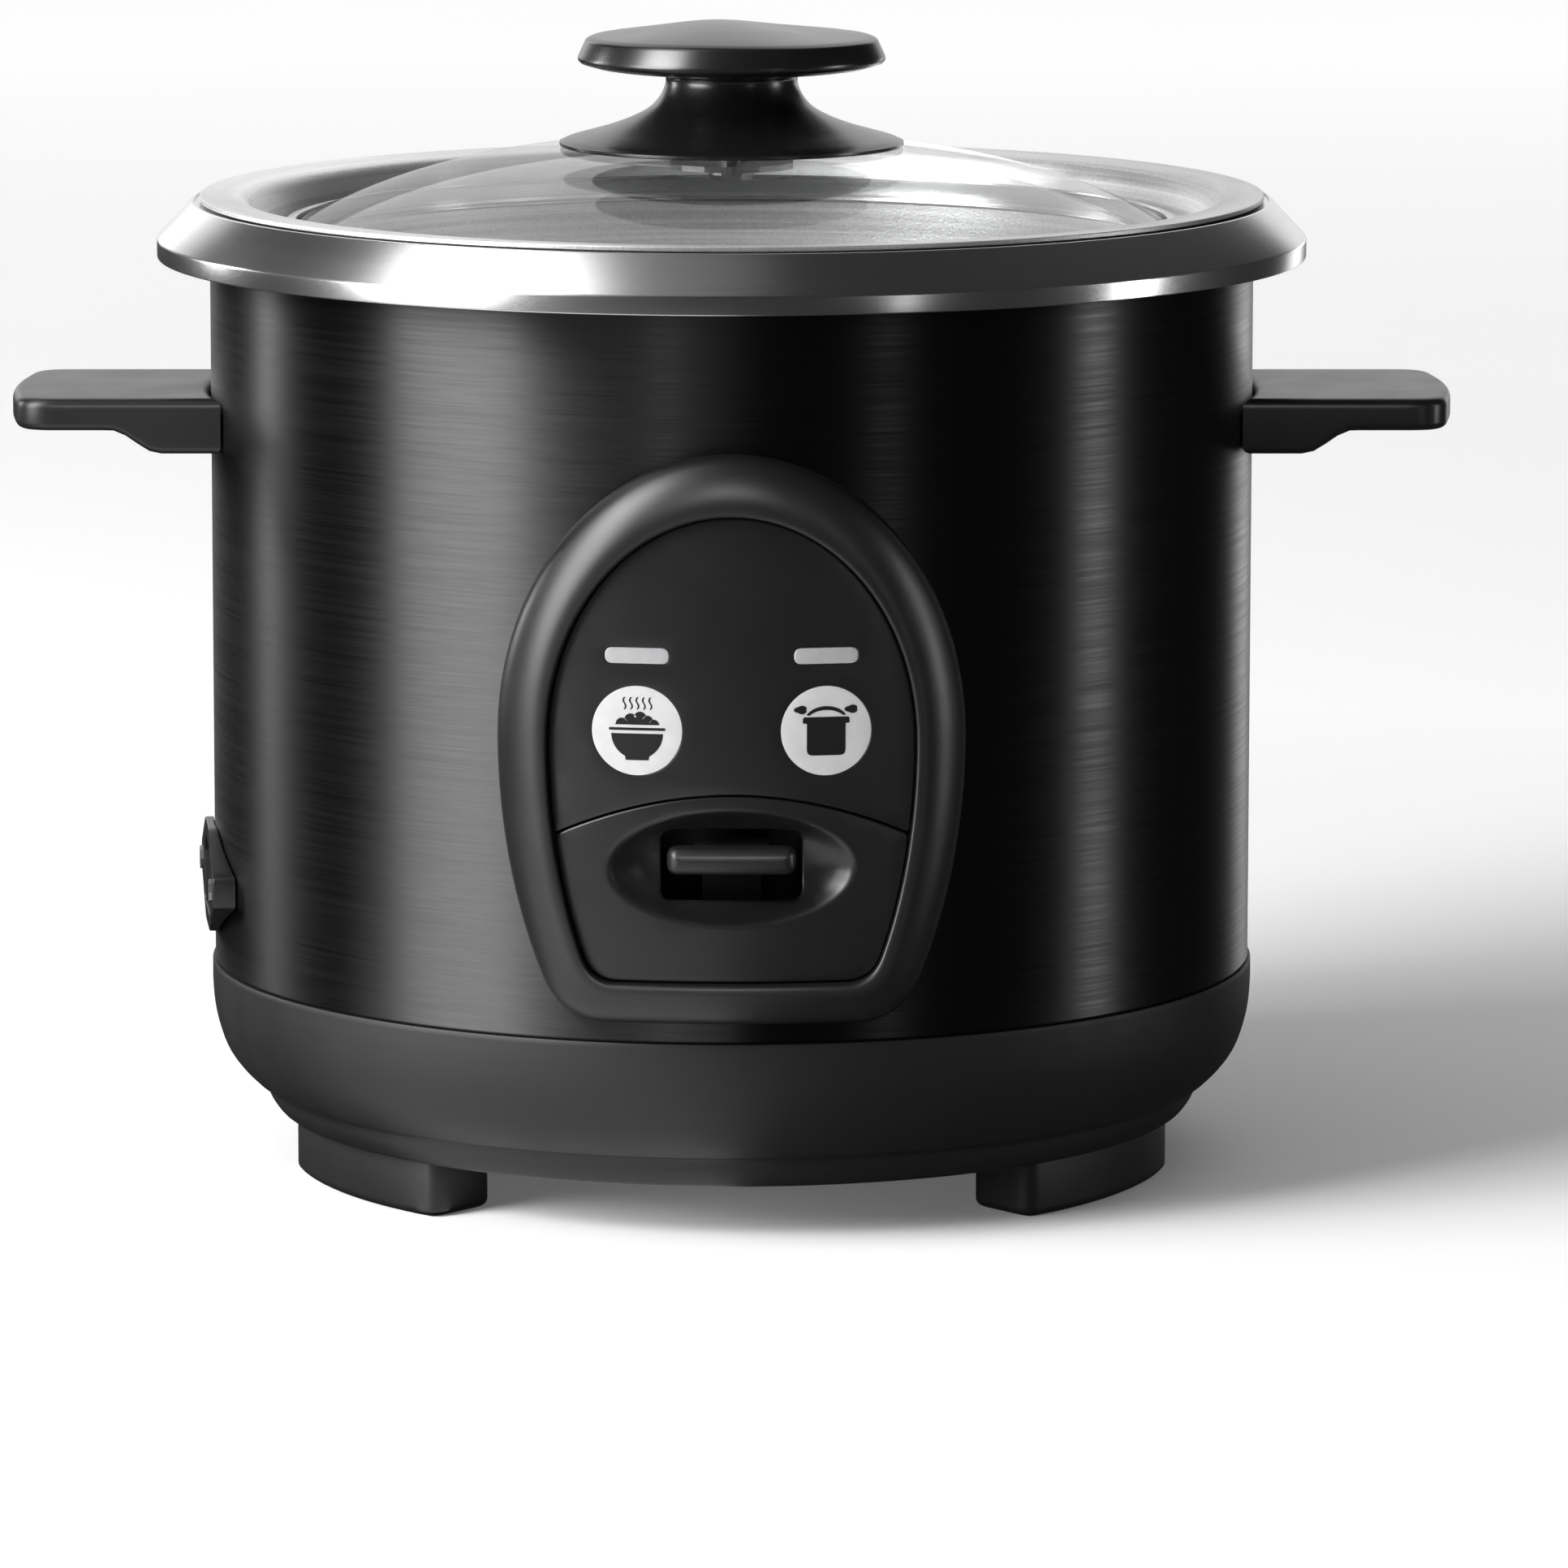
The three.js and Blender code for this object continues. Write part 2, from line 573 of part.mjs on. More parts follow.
add("panel_bezel", panelBezel(), "black_plastic");
add("indicator_panel", indicatorPanel(), "panel_plastic");
add("switch_plate", switchPlate(), "panel_plastic");
add("lamp_board", block([-26, 26], [-103.6, -102.2], [101, 132]), "board");
for (const [word, x] of Object.entries(LAMPS)) {
  add(`${word}_lens`, curvedPlate(stadium(x, 6.3, 1.4), [PANEL_BACK, PANEL_FACE + 0.2]), "lens");
  add(`${word}_disc`, curvedDisc(x, DISC_R, [PANEL_FACE - 0.6, PANEL_FACE + 0.05]), "print");
  add(`${word}_lamp`, barY(2.5, [-109.8, -103.9], [x, LAMP_Z], 10), "glass");
}

// ---------------------------------------------------------------- power inlet
// Drawn facing the front; its group turns it to the left side of the drum.
function inletHousing() {
  const ear = 3.2;
  const full = 11;
  const z = INLET_Z;
  const flange = polygon([[-26.6, z - ear], [-8.5, z - full], [8.5, z - full], [26.6, z - ear],
    [26.6, z + ear], [8.5, z + full], [-8.5, z + full], [-26.6, z + ear]]);
  const plate = cut(prismY(flange, [-INLET_FACE, -100]), post(SHELL_R + GAP, [40, 90], [0, 0], 96));
  const body = block([-12.6, 12.6], [-111, -92.8], [z - 8.6, z + 8.6]);
  const mouth = polygon([[-11.4, z - 7.4], [11.4, z - 7.4], [11.4, z + 3.4], [7.4, z + 7.4],
    [-7.4, z + 7.4], [-11.4, z + 3.4]]);
  const pins = PIN_PLACES.map(([x, dz]) => block([x - 1.3, x + 1.3], [-96, -90],
    [z + dz - 2.3, z + dz + 2.3]));
  const screws = [-1, 1].map((side) => barY(1.8, [-115, -90], [side * INLET_SCREW_X, z], 8));
  const heads = [-1, 1].map((side) => barY(2.9, [-115, -110.9], [side * INLET_SCREW_X, z], 12));
  return cut(joined(plate, body), prismY(mouth, [-120, -94.8]), ...pins, ...screws, ...heads);
}

function inletScrew(x) {
  const screw = turned([[0, 0.6], [2.5, 0.6], [2.5, -0.6], [1.4, -0.6], [1.4, -8], [0, -8]], 8);
  return screw.rotateX(Math.PI / 2).translate(x, -INLET_FACE, INLET_Z);
}

add("inlet_housing", inletHousing(), "black_plastic", inletGroup);
PIN_PLACES.forEach(([x, dz], i) => {
  const z = INLET_Z + dz;
  add(PIN_NAMES[i], block([x - 1, x + 1], [-106, -89.5], [z - 2, z + 2]), "brass", inletGroup);
});
add("inlet_screw_front", inletScrew(INLET_SCREW_X), "steel", inletGroup);
add("inlet_screw_rear", inletScrew(-INLET_SCREW_X), "steel", inletGroup);

// ---------------------------------------------------------------- heating plate and thermostat
function heatingPlate() {
  return turned([[17, PLATE_TOP], [PLATE_R, PLATE_TOP], [PLATE_R, 76], [68, 76], [68, 70],
    [64.9, 70], [64.9, 78], [57.1, 78], [57.1, 70], [54, 70], [54, 76], [17, 76]]);
}

// The element lies in the plate's groove, open at the rear, where its ends turn down.
class ElementCurve extends THREE.Curve {
  getPoint(t, target = new THREE.Vector3()) {
    const turn = 0.05;
    const z = 74;
    const drop = 16;
    const inner = THREE.MathUtils.clamp((t - turn) / (1 - 2 * turn), 0, 1);
    const [x, y] = around(ELEMENT_R, 105 + 330 * inner);
    const away = Math.max(0, turn - t, t - 1 + turn) / turn;
    return target.set(x, y, z - drop * away);
  }
}

add("heating_plate", heatingPlate(), "cast_aluminium");
add("heating_element", wire(new ElementCurve(), 3.4, 44, 6), "steel");
POST_ANGLES.forEach((degrees, i) => {
  const column = post(4, [BASE_FLOOR + BASE_WALL + GAP, 76 - GAP], around(POST_R, degrees), 12);
  add(`plate_post_${i + 1}`, column, "steel");
});

function thermostatFrame() {
  return turned([[22, 64.9], [22, 64], [14, 64], [14, 58.5], [2.6, 58.5], [2.6, 59.5], [13, 59.5],
    [13, 78], [14, 78], [14, 64.9]], 16);
}

function sensorCap() {
  return turned([[0, PLATE_TOP], [15, PLATE_TOP], [15.5, 83.5], [15.5, 70], [14.7, 70], [14.7, 83.2],
    [0, 83.2]], 16);
}

function magnetRod() {
  return turned([[0, 40], [2, 40], [2, 46], [5, 46], [5, 47.5], [2, 47.5], [2, 59.7], [0, 59.7]], 12);
}

add("thermostat_frame", thermostatFrame(), "steel");
add("sensor_cap", sensorCap(), "aluminium");
add("ferrite_core", post(12, [76, 82.9]), "steel");
add("sensor_spring", spring(10.5, 0.6, 3.5, [59.9, 75.6]), "steel");
add("magnet", post(8, [60, 66]), "steel");
add("magnet_rod", magnetRod(), "steel");
add("return_spring", spring(3.6, 0.5, 3.5, [47.9, 58.1]), "steel");

// ---------------------------------------------------------------- cook lever
function leverArm() {
  const front = -104.8;
  const half = 6;
  const low = LEVER_PIVOT_Z - LEVER_STRIP / 2;
  const high = LEVER_PIVOT_Z + LEVER_STRIP / 2;
  const upright = block([-half, half], [front, front + LEVER_STRIP], [low, 84]);
  const flat = block([-half, half], [front, 8], [low, high]);
  const barrel = barX(3.5, [-half, half], [LEVER_PIVOT_Y, LEVER_PIVOT_Z]);
  const strip = joined(upright, flat, barrel);
  const pinHole = barX(1.8, [-10, 10], [LEVER_PIVOT_Y, LEVER_PIVOT_Z]);
  const fork = block([-2.6, 2.6], [-3.5, 10], [low - 1, high + 1]);
  return cut(strip, pinHole, fork);
}

function leverButton() {
  const bar = prismY(roundedRectangle([-13, 13], [LEVER_Z - 2.8, LEVER_Z + 2.8], 1.8), [-118.6, -113]);
  const neck = block([-8, 8], [-114, -102], [LEVER_Z - 2.1, LEVER_Z + 2.3]);
  const pocket = block([-6.3, 6.3], [-105.1, -103], [70, 84.3]);
  return cut(joined(bar, neck), pocket);
}

function switchBracket() {
  const [y0, y1] = [LEVER_PIVOT_Y - 6, LEVER_PIVOT_Y + 6];
  const top = block([-8.3, 8.3], [-90, y1], [64, 64.9]);
  const ears = [[-8.3, -7.3], [7.3, 8.3]].map((xs) => block(xs, [y0, y1], [LEVER_PIVOT_Z - 6, 64.5]));
  return cut(joined(top, ...ears), barX(1.8, [-10, 10], [LEVER_PIVOT_Y, LEVER_PIVOT_Z]));
}

function microSwitch() {
  const plunger = post(1.5, [48, 53], [0, -80], 8);
  return joined(block([-5, 5], [-88, -72], [52, 63.7]), plunger);
}

add("lever_arm", leverArm(), "steel");
add("lever_button", leverButton(), "black_plastic");
add("switch_bracket", switchBracket(), "steel");
add("lever_pin", barX(1.5, [-9.5, 9.5], [LEVER_PIVOT_Y, LEVER_PIVOT_Z], 12), "steel");
add("micro_switch", microSwitch(), "panel_plastic");

// ---------------------------------------------------------------- other electrical parts
function keepWarmHeater() {
  const [low, high] = [112, 140];
  const band = ring(SHIELD_R + SHIELD_WALL + GAP, SHIELD_R + SHIELD_WALL + 2, [low, high], FINE);
  return cut(band, block([-34, 34], [-130, 0], [low - 5, high + 5]));
}

function terminalBlock() {
  const floor = BASE_FLOOR + BASE_WALL + GAP;
  const [x, y] = TERMINAL_PLACE;
  const holes = [-9, 0, 9].map((dx) => barY(2, [y - 20, y + 20], [x + dx, floor + 6], 8));
  return cut(block([x - 14, x + 14], [y - 7, y + 7], [floor, floor + 12]), ...holes);
}

function lead(points) {
  const curve = new THREE.CatmullRomCurve3(points.map((point) => new THREE.Vector3(...point)));
  return wire(curve, 1.2, 3 * points.length);
}

add("keep_warm_heater", keepWarmHeater(), "ceramic");
add("terminal_block", terminalBlock(), "ceramic");
add("thermal_fuse", barY(1.6, [-7, 7], [-ELEMENT_R, 68], 8), "steel");
add("lead_inlet_switch", lead([[-86, -16, 60], [-80, -34, 52], [-66, -58, 48], [-40, -76, 48],
  [-18, -86, 52], [-6.2, -82, 57]]), "wire");
add("lead_inlet_element", lead([[-86, -1, 60], [-78, 25, 50], [-52, 48, 44], [-27, 58, 46],
  [-15.8, 58.9, 56]]), "wire");

export default group;
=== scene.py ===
"""Rice cooker: the finished surfaces, materials, floor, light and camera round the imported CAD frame.

Shapes are worked out in millimetres in the frame's axes (+Z up, the front faces -Y) and stored in metres.
"""
import json
import math

import bmesh
import bpy
from mathutils import Matrix, Vector
from mathutils.geometry import delaunay_2d_cdt


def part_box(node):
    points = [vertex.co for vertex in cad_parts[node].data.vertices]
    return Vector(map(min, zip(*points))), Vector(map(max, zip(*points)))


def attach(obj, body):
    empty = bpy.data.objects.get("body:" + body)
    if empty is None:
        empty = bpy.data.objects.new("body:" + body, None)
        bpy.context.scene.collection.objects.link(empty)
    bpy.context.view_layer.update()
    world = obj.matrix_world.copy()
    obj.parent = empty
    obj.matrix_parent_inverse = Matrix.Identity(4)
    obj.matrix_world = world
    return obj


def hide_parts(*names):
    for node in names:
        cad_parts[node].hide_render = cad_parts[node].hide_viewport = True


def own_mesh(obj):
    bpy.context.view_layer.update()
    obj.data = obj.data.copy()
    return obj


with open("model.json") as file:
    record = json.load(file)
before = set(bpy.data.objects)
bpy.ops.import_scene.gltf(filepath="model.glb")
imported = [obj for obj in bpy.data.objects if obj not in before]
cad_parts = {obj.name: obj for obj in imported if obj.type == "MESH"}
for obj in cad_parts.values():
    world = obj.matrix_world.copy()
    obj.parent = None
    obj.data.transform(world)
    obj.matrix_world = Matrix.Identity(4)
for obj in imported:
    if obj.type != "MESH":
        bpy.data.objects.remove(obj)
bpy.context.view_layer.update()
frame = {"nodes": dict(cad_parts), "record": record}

MM = 0.001


def cad(node):
    """A CAD node's box in millimetres: lowest corner, highest corner."""
    low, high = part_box(node)
    return [c / MM for c in low], [c / MM for c in high]


# ---- sizes from the frame
SHELL_R = cad("outer_shell")[1][0]
SHELL_LOW = cad("outer_shell")[0][2]
SHELL_HIGH = cad("outer_shell")[1][2]
COLLAR_R = cad("overflow_collar")[1][0]
COLLAR_LOW = cad("overflow_collar")[0][2]
COLLAR_TOP = cad("overflow_collar")[1][2]
COLLAR_LIP = 193.3  # lower edge of its outer lip
COLLAR_CREST_R = 113.7  # where its slope meets its narrow flat top
COLLAR_BELOW_FLANGE = 1.0  # the flat top stays this far under the CAD one, so a dark line shows
FLANGE_R = cad("inner_pot")[1][0]
FLANGE_TOP = cad("inner_pot")[1][2]
FLANGE_GAP = 0.5  # the flange stops this far short of the CAD one
POT_BOTTOM = cad("inner_pot")[0][2]
BASE_R = cad("base_housing")[1][0]
BASE_FLOOR = cad("base_housing")[0][2]
GLASS_R = cad("lid_glass")[1][0]
HOOP_R = cad("lid_hoop")[1][0]
HOOP_LOW = cad("lid_hoop")[0][2]
KNOB_TOP = cad("knob_cap")[1][2]
KNOB_R = cad("knob_cap")[1][0]
SKIRT_LOW = cad("knob_skirt")[0][2]
HANDLE_TIP = cad("handle_right")[1][0]
HANDLE_TOP = cad("handle_right")[1][2]
HANDLE_ROOT = cad("handle_right")[0][2]
HANDLE_HALF = cad("handle_right")[1][1]
HANDLE_PLATE = 6.7  # thickness of the grip
FOOT_TOP = cad("foot_rear")[1][2]
PLATE_TOP = cad("heating_plate")[1][2]
PLATE_R = cad("heating_plate")[1][0]

PANEL_FACE = 5.0  # the panel's face stands this far off the drum
PANEL_BACK = 2.6
# egg outlines: half width, its height, rise above it, drop below it, flat bottom, corner
BEZEL = dict(half=47.4, mid=106, rise=58.4, drop=83, bottom=48.4, corner=8)
WINDOW = dict(half=37.3, mid=106, rise=46.3, drop=74.5, bottom=57.3, corner=5)
CUTOUT = dict(half=41, mid=106, rise=51, drop=78, bottom=53, corner=6)
SEAM_Z, SEAM_DROP, SEAM_HALF, SEAM_GAP = 95.7, 8.9, 36.5, 0.2
LAMP_X, LAMP_Z = 19, 124
DISC_Z, DISC_R = 108.8, 9.1
DISH = dict(z=80.8, half_x=25.8, half_z=12.2, depth=5.2, wall=0.44, soft=0.2, back=-0.95)
SLOT = dict(half_x=14.2, low=73.5, high=88.1, corner=2.6)
INLET_ANGLE = math.radians(-84.5)
INLET_Z, INLET_FACE = 62.2, 111.8
GLASS_EDGE_Z, GLASS_RISE, GLASS_POWER, GLASS_WALL = 199.5, 17.5, 2.8, 4.0
VENT_Y = 58

SEGMENTS = 200  # sides of a large turned piece
SHARP = math.radians(38)  # a steeper edge stays sharp


# ---- outlines
def rounded(points, steps=5, closed=False):
    """Points (x, y) or (x, y, cut) as an outline. Each corner with a cut is rounded over that length."""
    out = []
    count = len(points)
    for i, point in enumerate(points):
        here = Vector(point[:2])
        cut = point[2] if len(point) > 2 else 0
        if not cut or (not closed and i in (0, count - 1)):
            out.append(tuple(here))
            continue
        before = Vector(points[i - 1][:2]) - here
        after = Vector(points[(i + 1) % count][:2]) - here
        a = here + before.normalized() * min(cut, before.length * 0.49)
        b = here + after.normalized() * min(cut, after.length * 0.49)
        for k in range(steps + 1):
            t = k / steps
            out.append(tuple(a * (1 - t) ** 2 + here * 2 * t * (1 - t) + b * t * t))
    return out


def spline(points, per=6):
    """A Catmull-Rom curve through the points."""
    knots = [Vector(p) for p in points]
    knots = [2 * knots[0] - knots[1]] + knots + [2 * knots[-1] - knots[-2]]
    out = []
    for i in range(1, len(knots) - 2):
        p0, p1, p2, p3 = knots[i - 1:i + 3]
        for k in range(per):
            t = k / per
            curve = (2 * p1 + (p2 - p0) * t + (2 * p0 - 5 * p1 + 4 * p2 - p3) * t ** 2
                     + (3 * p1 - p0 - 3 * p2 + p3) * t ** 3) / 2
            out.append(tuple(curve))
    return out + [tuple(knots[-2])]


def arc(centre, radius, start, end, steps):
    """Points on an arc, angles in degrees."""
    out = []
    for k in range(steps + 1):
        angle = math.radians(start + (end - start) * k / steps)
        out.append((centre[0] + radius * math.cos(angle), centre[1] + radius * math.sin(angle)))
    return out


def evenly(loop, spacing):
    """A closed loop with points at most about one spacing apart. It keeps its own corners."""
    out = []
    for i, a in enumerate(loop):
        b = loop[(i + 1) % len(loop)]
        length = math.dist(a, b)
        parts = max(1, round(length / spacing))
        for k in range(parts):
            t = k / parts
            out.append((a[0] + (b[0] - a[0]) * t, a[1] + (b[1] - a[1]) * t))
    return out


def egg(half, mid, rise, drop, bottom, corner):
    """The panel's outline: half an ellipse on top, longer ellipses below, cut flat with round corners."""
    side = math.asin((mid - bottom - corner) / drop)
    corner_x = half * math.cos(math.asin((mid - bottom) / drop))
    top = [(half * math.cos(a), mid + rise * math.sin(a)) for a in (math.pi * k / 48 for k in range(49))]
    left = [(-half * math.cos(a), mid - drop * math.sin(a)) for a in (side * k / 20 for k in range(1, 21))]
    start, control, end = Vector(left[-1]), Vector((-corner_x, bottom)), Vector((-corner_x + corner, bottom))
    turn = [tuple(start * (1 - t) ** 2 + control * 2 * t * (1 - t) + end * t * t)
            for t in (k / 10 for k in range(1, 11))]
    flat = [((2 * k / 24 - 1) * (corner_x - corner), bottom) for k in range(1, 25)]
    mirrored = [(-x, z) for x, z in reversed(left + turn[:-1])]
    return top + left + turn + flat + mirrored


def rounded_box(x0, x1, z0, z1, cut, steps=7):
    """A rectangle with round corners."""
    return rounded([(x0, z0, cut), (x1, z0, cut), (x1, z1, cut), (x0, z1, cut)], steps, closed=True)


def circle(x, y, radius, count=64):
    return [(x + radius * math.cos(2 * math.pi * k / count), y + radius * math.sin(2 * math.pi * k / count))
            for k in range(count)]


def grown(size, by):
    """The sizes of an egg outline moved outwards all round."""
    return dict(size, half=size["half"] + by, rise=size["rise"] + by, bottom=size["bottom"] - by)


def inset(loop, amount):
    """A counter-clockwise loop moved inwards."""
    out = []
    count = len(loop)
    for i in range(count):
        before, here, after = Vector(loop[i - 1]), Vector(loop[i]), Vector(loop[(i + 1) % count])
        d1 = (here - before).normalized()
        d2 = (after - here).normalized()
        normal = Vector((-d1.y - d2.y, d1.x + d2.x))
        if normal.length < 1e-9:
            normal = Vector((-d1.y, d1.x))
        normal.normalize()
        stretch = max(0.5, normal.dot(Vector((-d1.y, d1.x))))
        out.append(tuple(here + normal * amount / stretch))
    return out


def area(loop):
    """The area inside a loop, negative when it runs clockwise."""
    return sum(a[0] * b[1] - b[0] * a[1] for a, b in zip(loop, loop[1:] + loop[:1])) / 2


def anticlockwise(loop):
    return loop if area(loop) > 0 else loop[::-1]


def inside(point, loop):
    """Whether a point is inside a loop."""
    x, y = point
    hit = False
    for (ax, ay), (bx, by) in zip(loop, loop[1:] + loop[:1]):
        if (ay > y) != (by > y) and x < (bx - ax) * (y - ay) / (by - ay) + ax:
            hit = not hit
    return hit


# ---- pieces
def to_object(name, bm):
    mesh = bpy.data.meshes.new(name)
    bm.to_mesh(mesh)
    bm.free()
    return bpy.data.objects.new(name, mesh)


def finish_mesh(name, bm, body, slot, replaced=()):
    """Turns the mesh into a piece of the visual model: its body, its slot and the CAD nodes it replaces."""
    bmesh.ops.remove_doubles(bm, verts=bm.verts, dist=2e-6)
    bmesh.ops.dissolve_degenerate(bm, edges=bm.edges, dist=1e-7)
    bmesh.ops.recalc_face_normals(bm, faces=bm.faces)
    piece = to_object(name, bm)
    piece.data.shade_smooth()
    piece.data.set_sharp_from_angle(angle=SHARP)
    piece.data.materials.append(materials[slot])
    bpy.context.scene.collection.objects.link(piece)
    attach(piece, body)
    if replaced:
        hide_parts(*replaced)
    return piece


def new_corners(bm, points):
    """Mesh corners at points in millimetres."""
    return [bm.verts.new([c * MM for c in point]) for point in points]


def level_circle(radius, z, count):
    """Points on a level circle, from the front towards the right."""
    angles = [2 * math.pi * k / count for k in range(count)]
    return [(radius * math.sin(a), -radius * math.cos(a), z) for a in angles]


def skin(bm, rings):
    """Joins each ring of corners to the next with faces. A ring may be one point, repeated."""
    for low, high in zip(rings, rings[1:]):
        for k in range(len(low)):
            n = (k + 1) % len(low)
            corners = dict.fromkeys((low[k], low[n], high[n], high[k]))
            if len(corners) > 2:
                bm.faces.new(list(corners))


def add_lathe(bm, profile, segments=SEGMENTS, move=None):
    """Turns a profile of (radius, z) round Z. It ends on the axis or closes on itself."""
    on_axis = profile[0][0] < 1e-9 and profile[-1][0] < 1e-9
    rings = []
    for radius, z in profile:
        if radius < 1e-9:
            rings.append(new_corners(bm, [(0, 0, z)]) * segments)
        else:
            rings.append(new_corners(bm, level_circle(radius, z, segments)))
    skin(bm, rings if on_axis else rings + rings[:1])
    if move:
        bmesh.ops.transform(bm, matrix=move, verts=bm.verts)


def turned(name, profile, body, slot, replaced=(), segments=SEGMENTS, move=None):
    bm = bmesh.new()
    add_lathe(bm, profile, segments, move)
    finish_mesh(name, bm, body, slot, replaced)


def level(height):
    return lambda u, v: height


def cap_triangles(loops, spacing, extra):
    """Triangles that fill the first loop round the others, with grid points for curvature."""
    points, edges = [], []
    for loop in loops:
        first = len(points)
        points += loop
        edges += [(first + k, first + (k + 1) % len(loop)) for k in range(len(loop))]
    xs = [p[0] for p in loops[0]]
    ys = [p[1] for p in loops[0]]
    margin = spacing * 0.45
    grid = list(extra)
    y = min(ys) + spacing * 0.5
    while y < max(ys):
        x = min(xs) + spacing * 0.5
        while x < max(xs):
            if all(math.dist((x, y), p) > margin for p in extra):
                grid.append((x, y))
            x += spacing
        y += spacing
    shells = [inset(loop, margin) for loop in loops]
    for p in grid:
        if inside(p, shells[0]) and not any(inside(p, shell) for shell in shells[1:]):
            points.append(p)
    verts, _, faces, *_ = delaunay_2d_cdt([Vector(p) for p in points], edges, [], 0, 1e-7)
    kept = []
    for face in faces:
        centre = sum((verts[k] for k in face), Vector((0, 0))) / len(face)
        if inside(centre, loops[0]) and not any(inside(centre, loop) for loop in loops[1:]):
            kept.append(face)
    return verts, kept


def add_slab(bm, outline, top, bottom, place, radius=0.5, low_radius=0.0, holes=(), hole_radius=None,
             spacing=4.0, extra=(), steps=5):
    """A solid between two surfaces inside an outline, with rounded edges and holes.

    top and bottom are a height or a function of (u, v) that gives it. place turns (u, v, height) into a point
    in millimetres.
    """
    top, bottom = (side if callable(side) else level(side) for side in (top, bottom))
    loops = [anticlockwise(list(outline))] + [anticlockwise(list(hole))[::-1] for hole in holes]
    hole_radius = radius if hole_radius is None else hole_radius

    def edge_rows(loop, r, surface, sign):
        rows = []
        count = steps if r > 0 else 0
        for k in range(count + 1):
            angle = math.pi / 2 * (k / count if count else 1)
            moved = inset(loop, r * (1 - math.cos(angle))) if r > 0 else loop
            drop = r * (1 - math.sin(angle))
            rows.append([(u, v, surface(u, v) - sign * drop) for u, v in moved])
        return rows

    edges = {}
    for surface, sign, radii in ((top, 1, (radius, hole_radius)), (bottom, -1, (low_radius, 0))):
        ends = []
        for i, loop in enumerate(loops):
            edges[i, sign] = edge_rows(loop, radii[min(i, 1)], surface, sign)
            ends.append([(u, v) for u, v, _ in edges[i, sign][-1]])
        verts, faces = cap_triangles(ends, spacing, extra)
        made = new_corners(bm, [place(p.x, p.y, surface(p.x, p.y)) for p in verts])
        for face in faces:
            bm.faces.new([made[k] for k in face])
    for i in range(len(loops)):
        skin(bm, [new_corners(bm, [place(*p) for p in row]) for row in edges[i, -1][::-1] + edges[i, 1]])


def slab(name, body, slot, replaced=(), **shape):
    bm = bmesh.new()
    add_slab(bm, **shape)
    finish_mesh(name, bm, body, slot, replaced)


def on_drum(u, v, height):
    """Across the drum's front, up, and off the drum."""
    radius = SHELL_R + height
    return (u, -math.sqrt(radius * radius - u * u), v)


def flat_z(u, v, height):
    return (u, v, height)


def facing_front(u, v, height):
    return (u, -height, v)


# ---- materials
materials = {}


class Nodes:
    """A small helper that adds nodes and links them."""

    def __init__(self, name):
        self.material = bpy.data.materials.new(name)
        self.material.use_nodes = True
        self.tree = self.material.node_tree
        self.tree.nodes.clear()

    def add(self, kind, inputs=None, **settings):
        node = self.tree.nodes.new(kind)
        for key, value in settings.items():
            setattr(node, key, value)
        for key, value in (inputs or {}).items():
            if isinstance(value, bpy.types.NodeSocket):
                self.tree.links.new(value, node.inputs[key])
            else:
                node.inputs[key].default_value = value
        return node

    def place(self, scale):
        """Object coordinates, in metres, times a scale on each axis."""
        coordinates = self.add("ShaderNodeTexCoord").outputs["Object"]
        return self.add("ShaderNodeMapping", {"Vector": coordinates, "Scale": scale}).outputs["Vector"]

    def noise(self, scale, detail=3.0, rough=0.55):
        """Noise of about scale cycles per metre, given for each axis or as one number."""
        scales = scale if isinstance(scale, tuple) else (scale, scale, scale)
        inputs = {"Vector": self.place(scales), "Scale": 1.0, "Detail": detail, "Roughness": rough}
        return self.add("ShaderNodeTexNoise", inputs).outputs["Fac"]

    def spread(self, value, low, high, start=0.3, end=0.7):
        inputs = {"Value": value, "From Min": start, "From Max": end, "To Min": low, "To Max": high}
        return self.add("ShaderNodeMapRange", inputs).outputs["Result"]

    def blend(self, factor, first, second):
        node = self.add("ShaderNodeMix", data_type="RGBA")
        for index, value in ((0, factor), (6, first), (7, second)):
            if isinstance(value, bpy.types.NodeSocket):
                self.tree.links.new(value, node.inputs[index])
            else:
                node.inputs[index].default_value = value
        return node.outputs[2]

    def bump(self, height, strength, distance):
        inputs = {"Height": height, "Strength": strength, "Distance": distance}
        return self.add("ShaderNodeBump", inputs).outputs["Normal"]

    def output(self, shader):
        self.add("ShaderNodeOutputMaterial", {"Surface": shader})
        return self.material

    def principled(self, colour, gloss, normal, more=None):
        """Ends the material in a Principled shader, with more of its inputs if needed."""
        inputs = {"Base Color": colour, "Roughness": gloss, "Normal": normal, **(more or {})}
        return self.output(self.add("ShaderNodeBsdfPrincipled", inputs).outputs["BSDF"])


def grey(value, tint=0.0):
    return (value, value, value * (1 + tint), 1)


def plastic(name, dark, light, roughness, grain=900, bump=0.04, specular=0.5):
    """Moulded plastic: a fine eroded grain, slightly uneven gloss and a faint cloud of colour."""
    n = Nodes(name)
    cloud = n.noise(18, 2)
    fine = n.noise(grain, 2)
    colour = n.blend(n.spread(cloud, 0, 1), grey(dark), grey(light))
    gloss = n.spread(n.noise(60, 3), roughness * 0.92, roughness * 1.08)
    normal = n.bump(fine, bump, 0.0002)
    return n.principled(colour, gloss, normal, {"Specular IOR Level": specular})


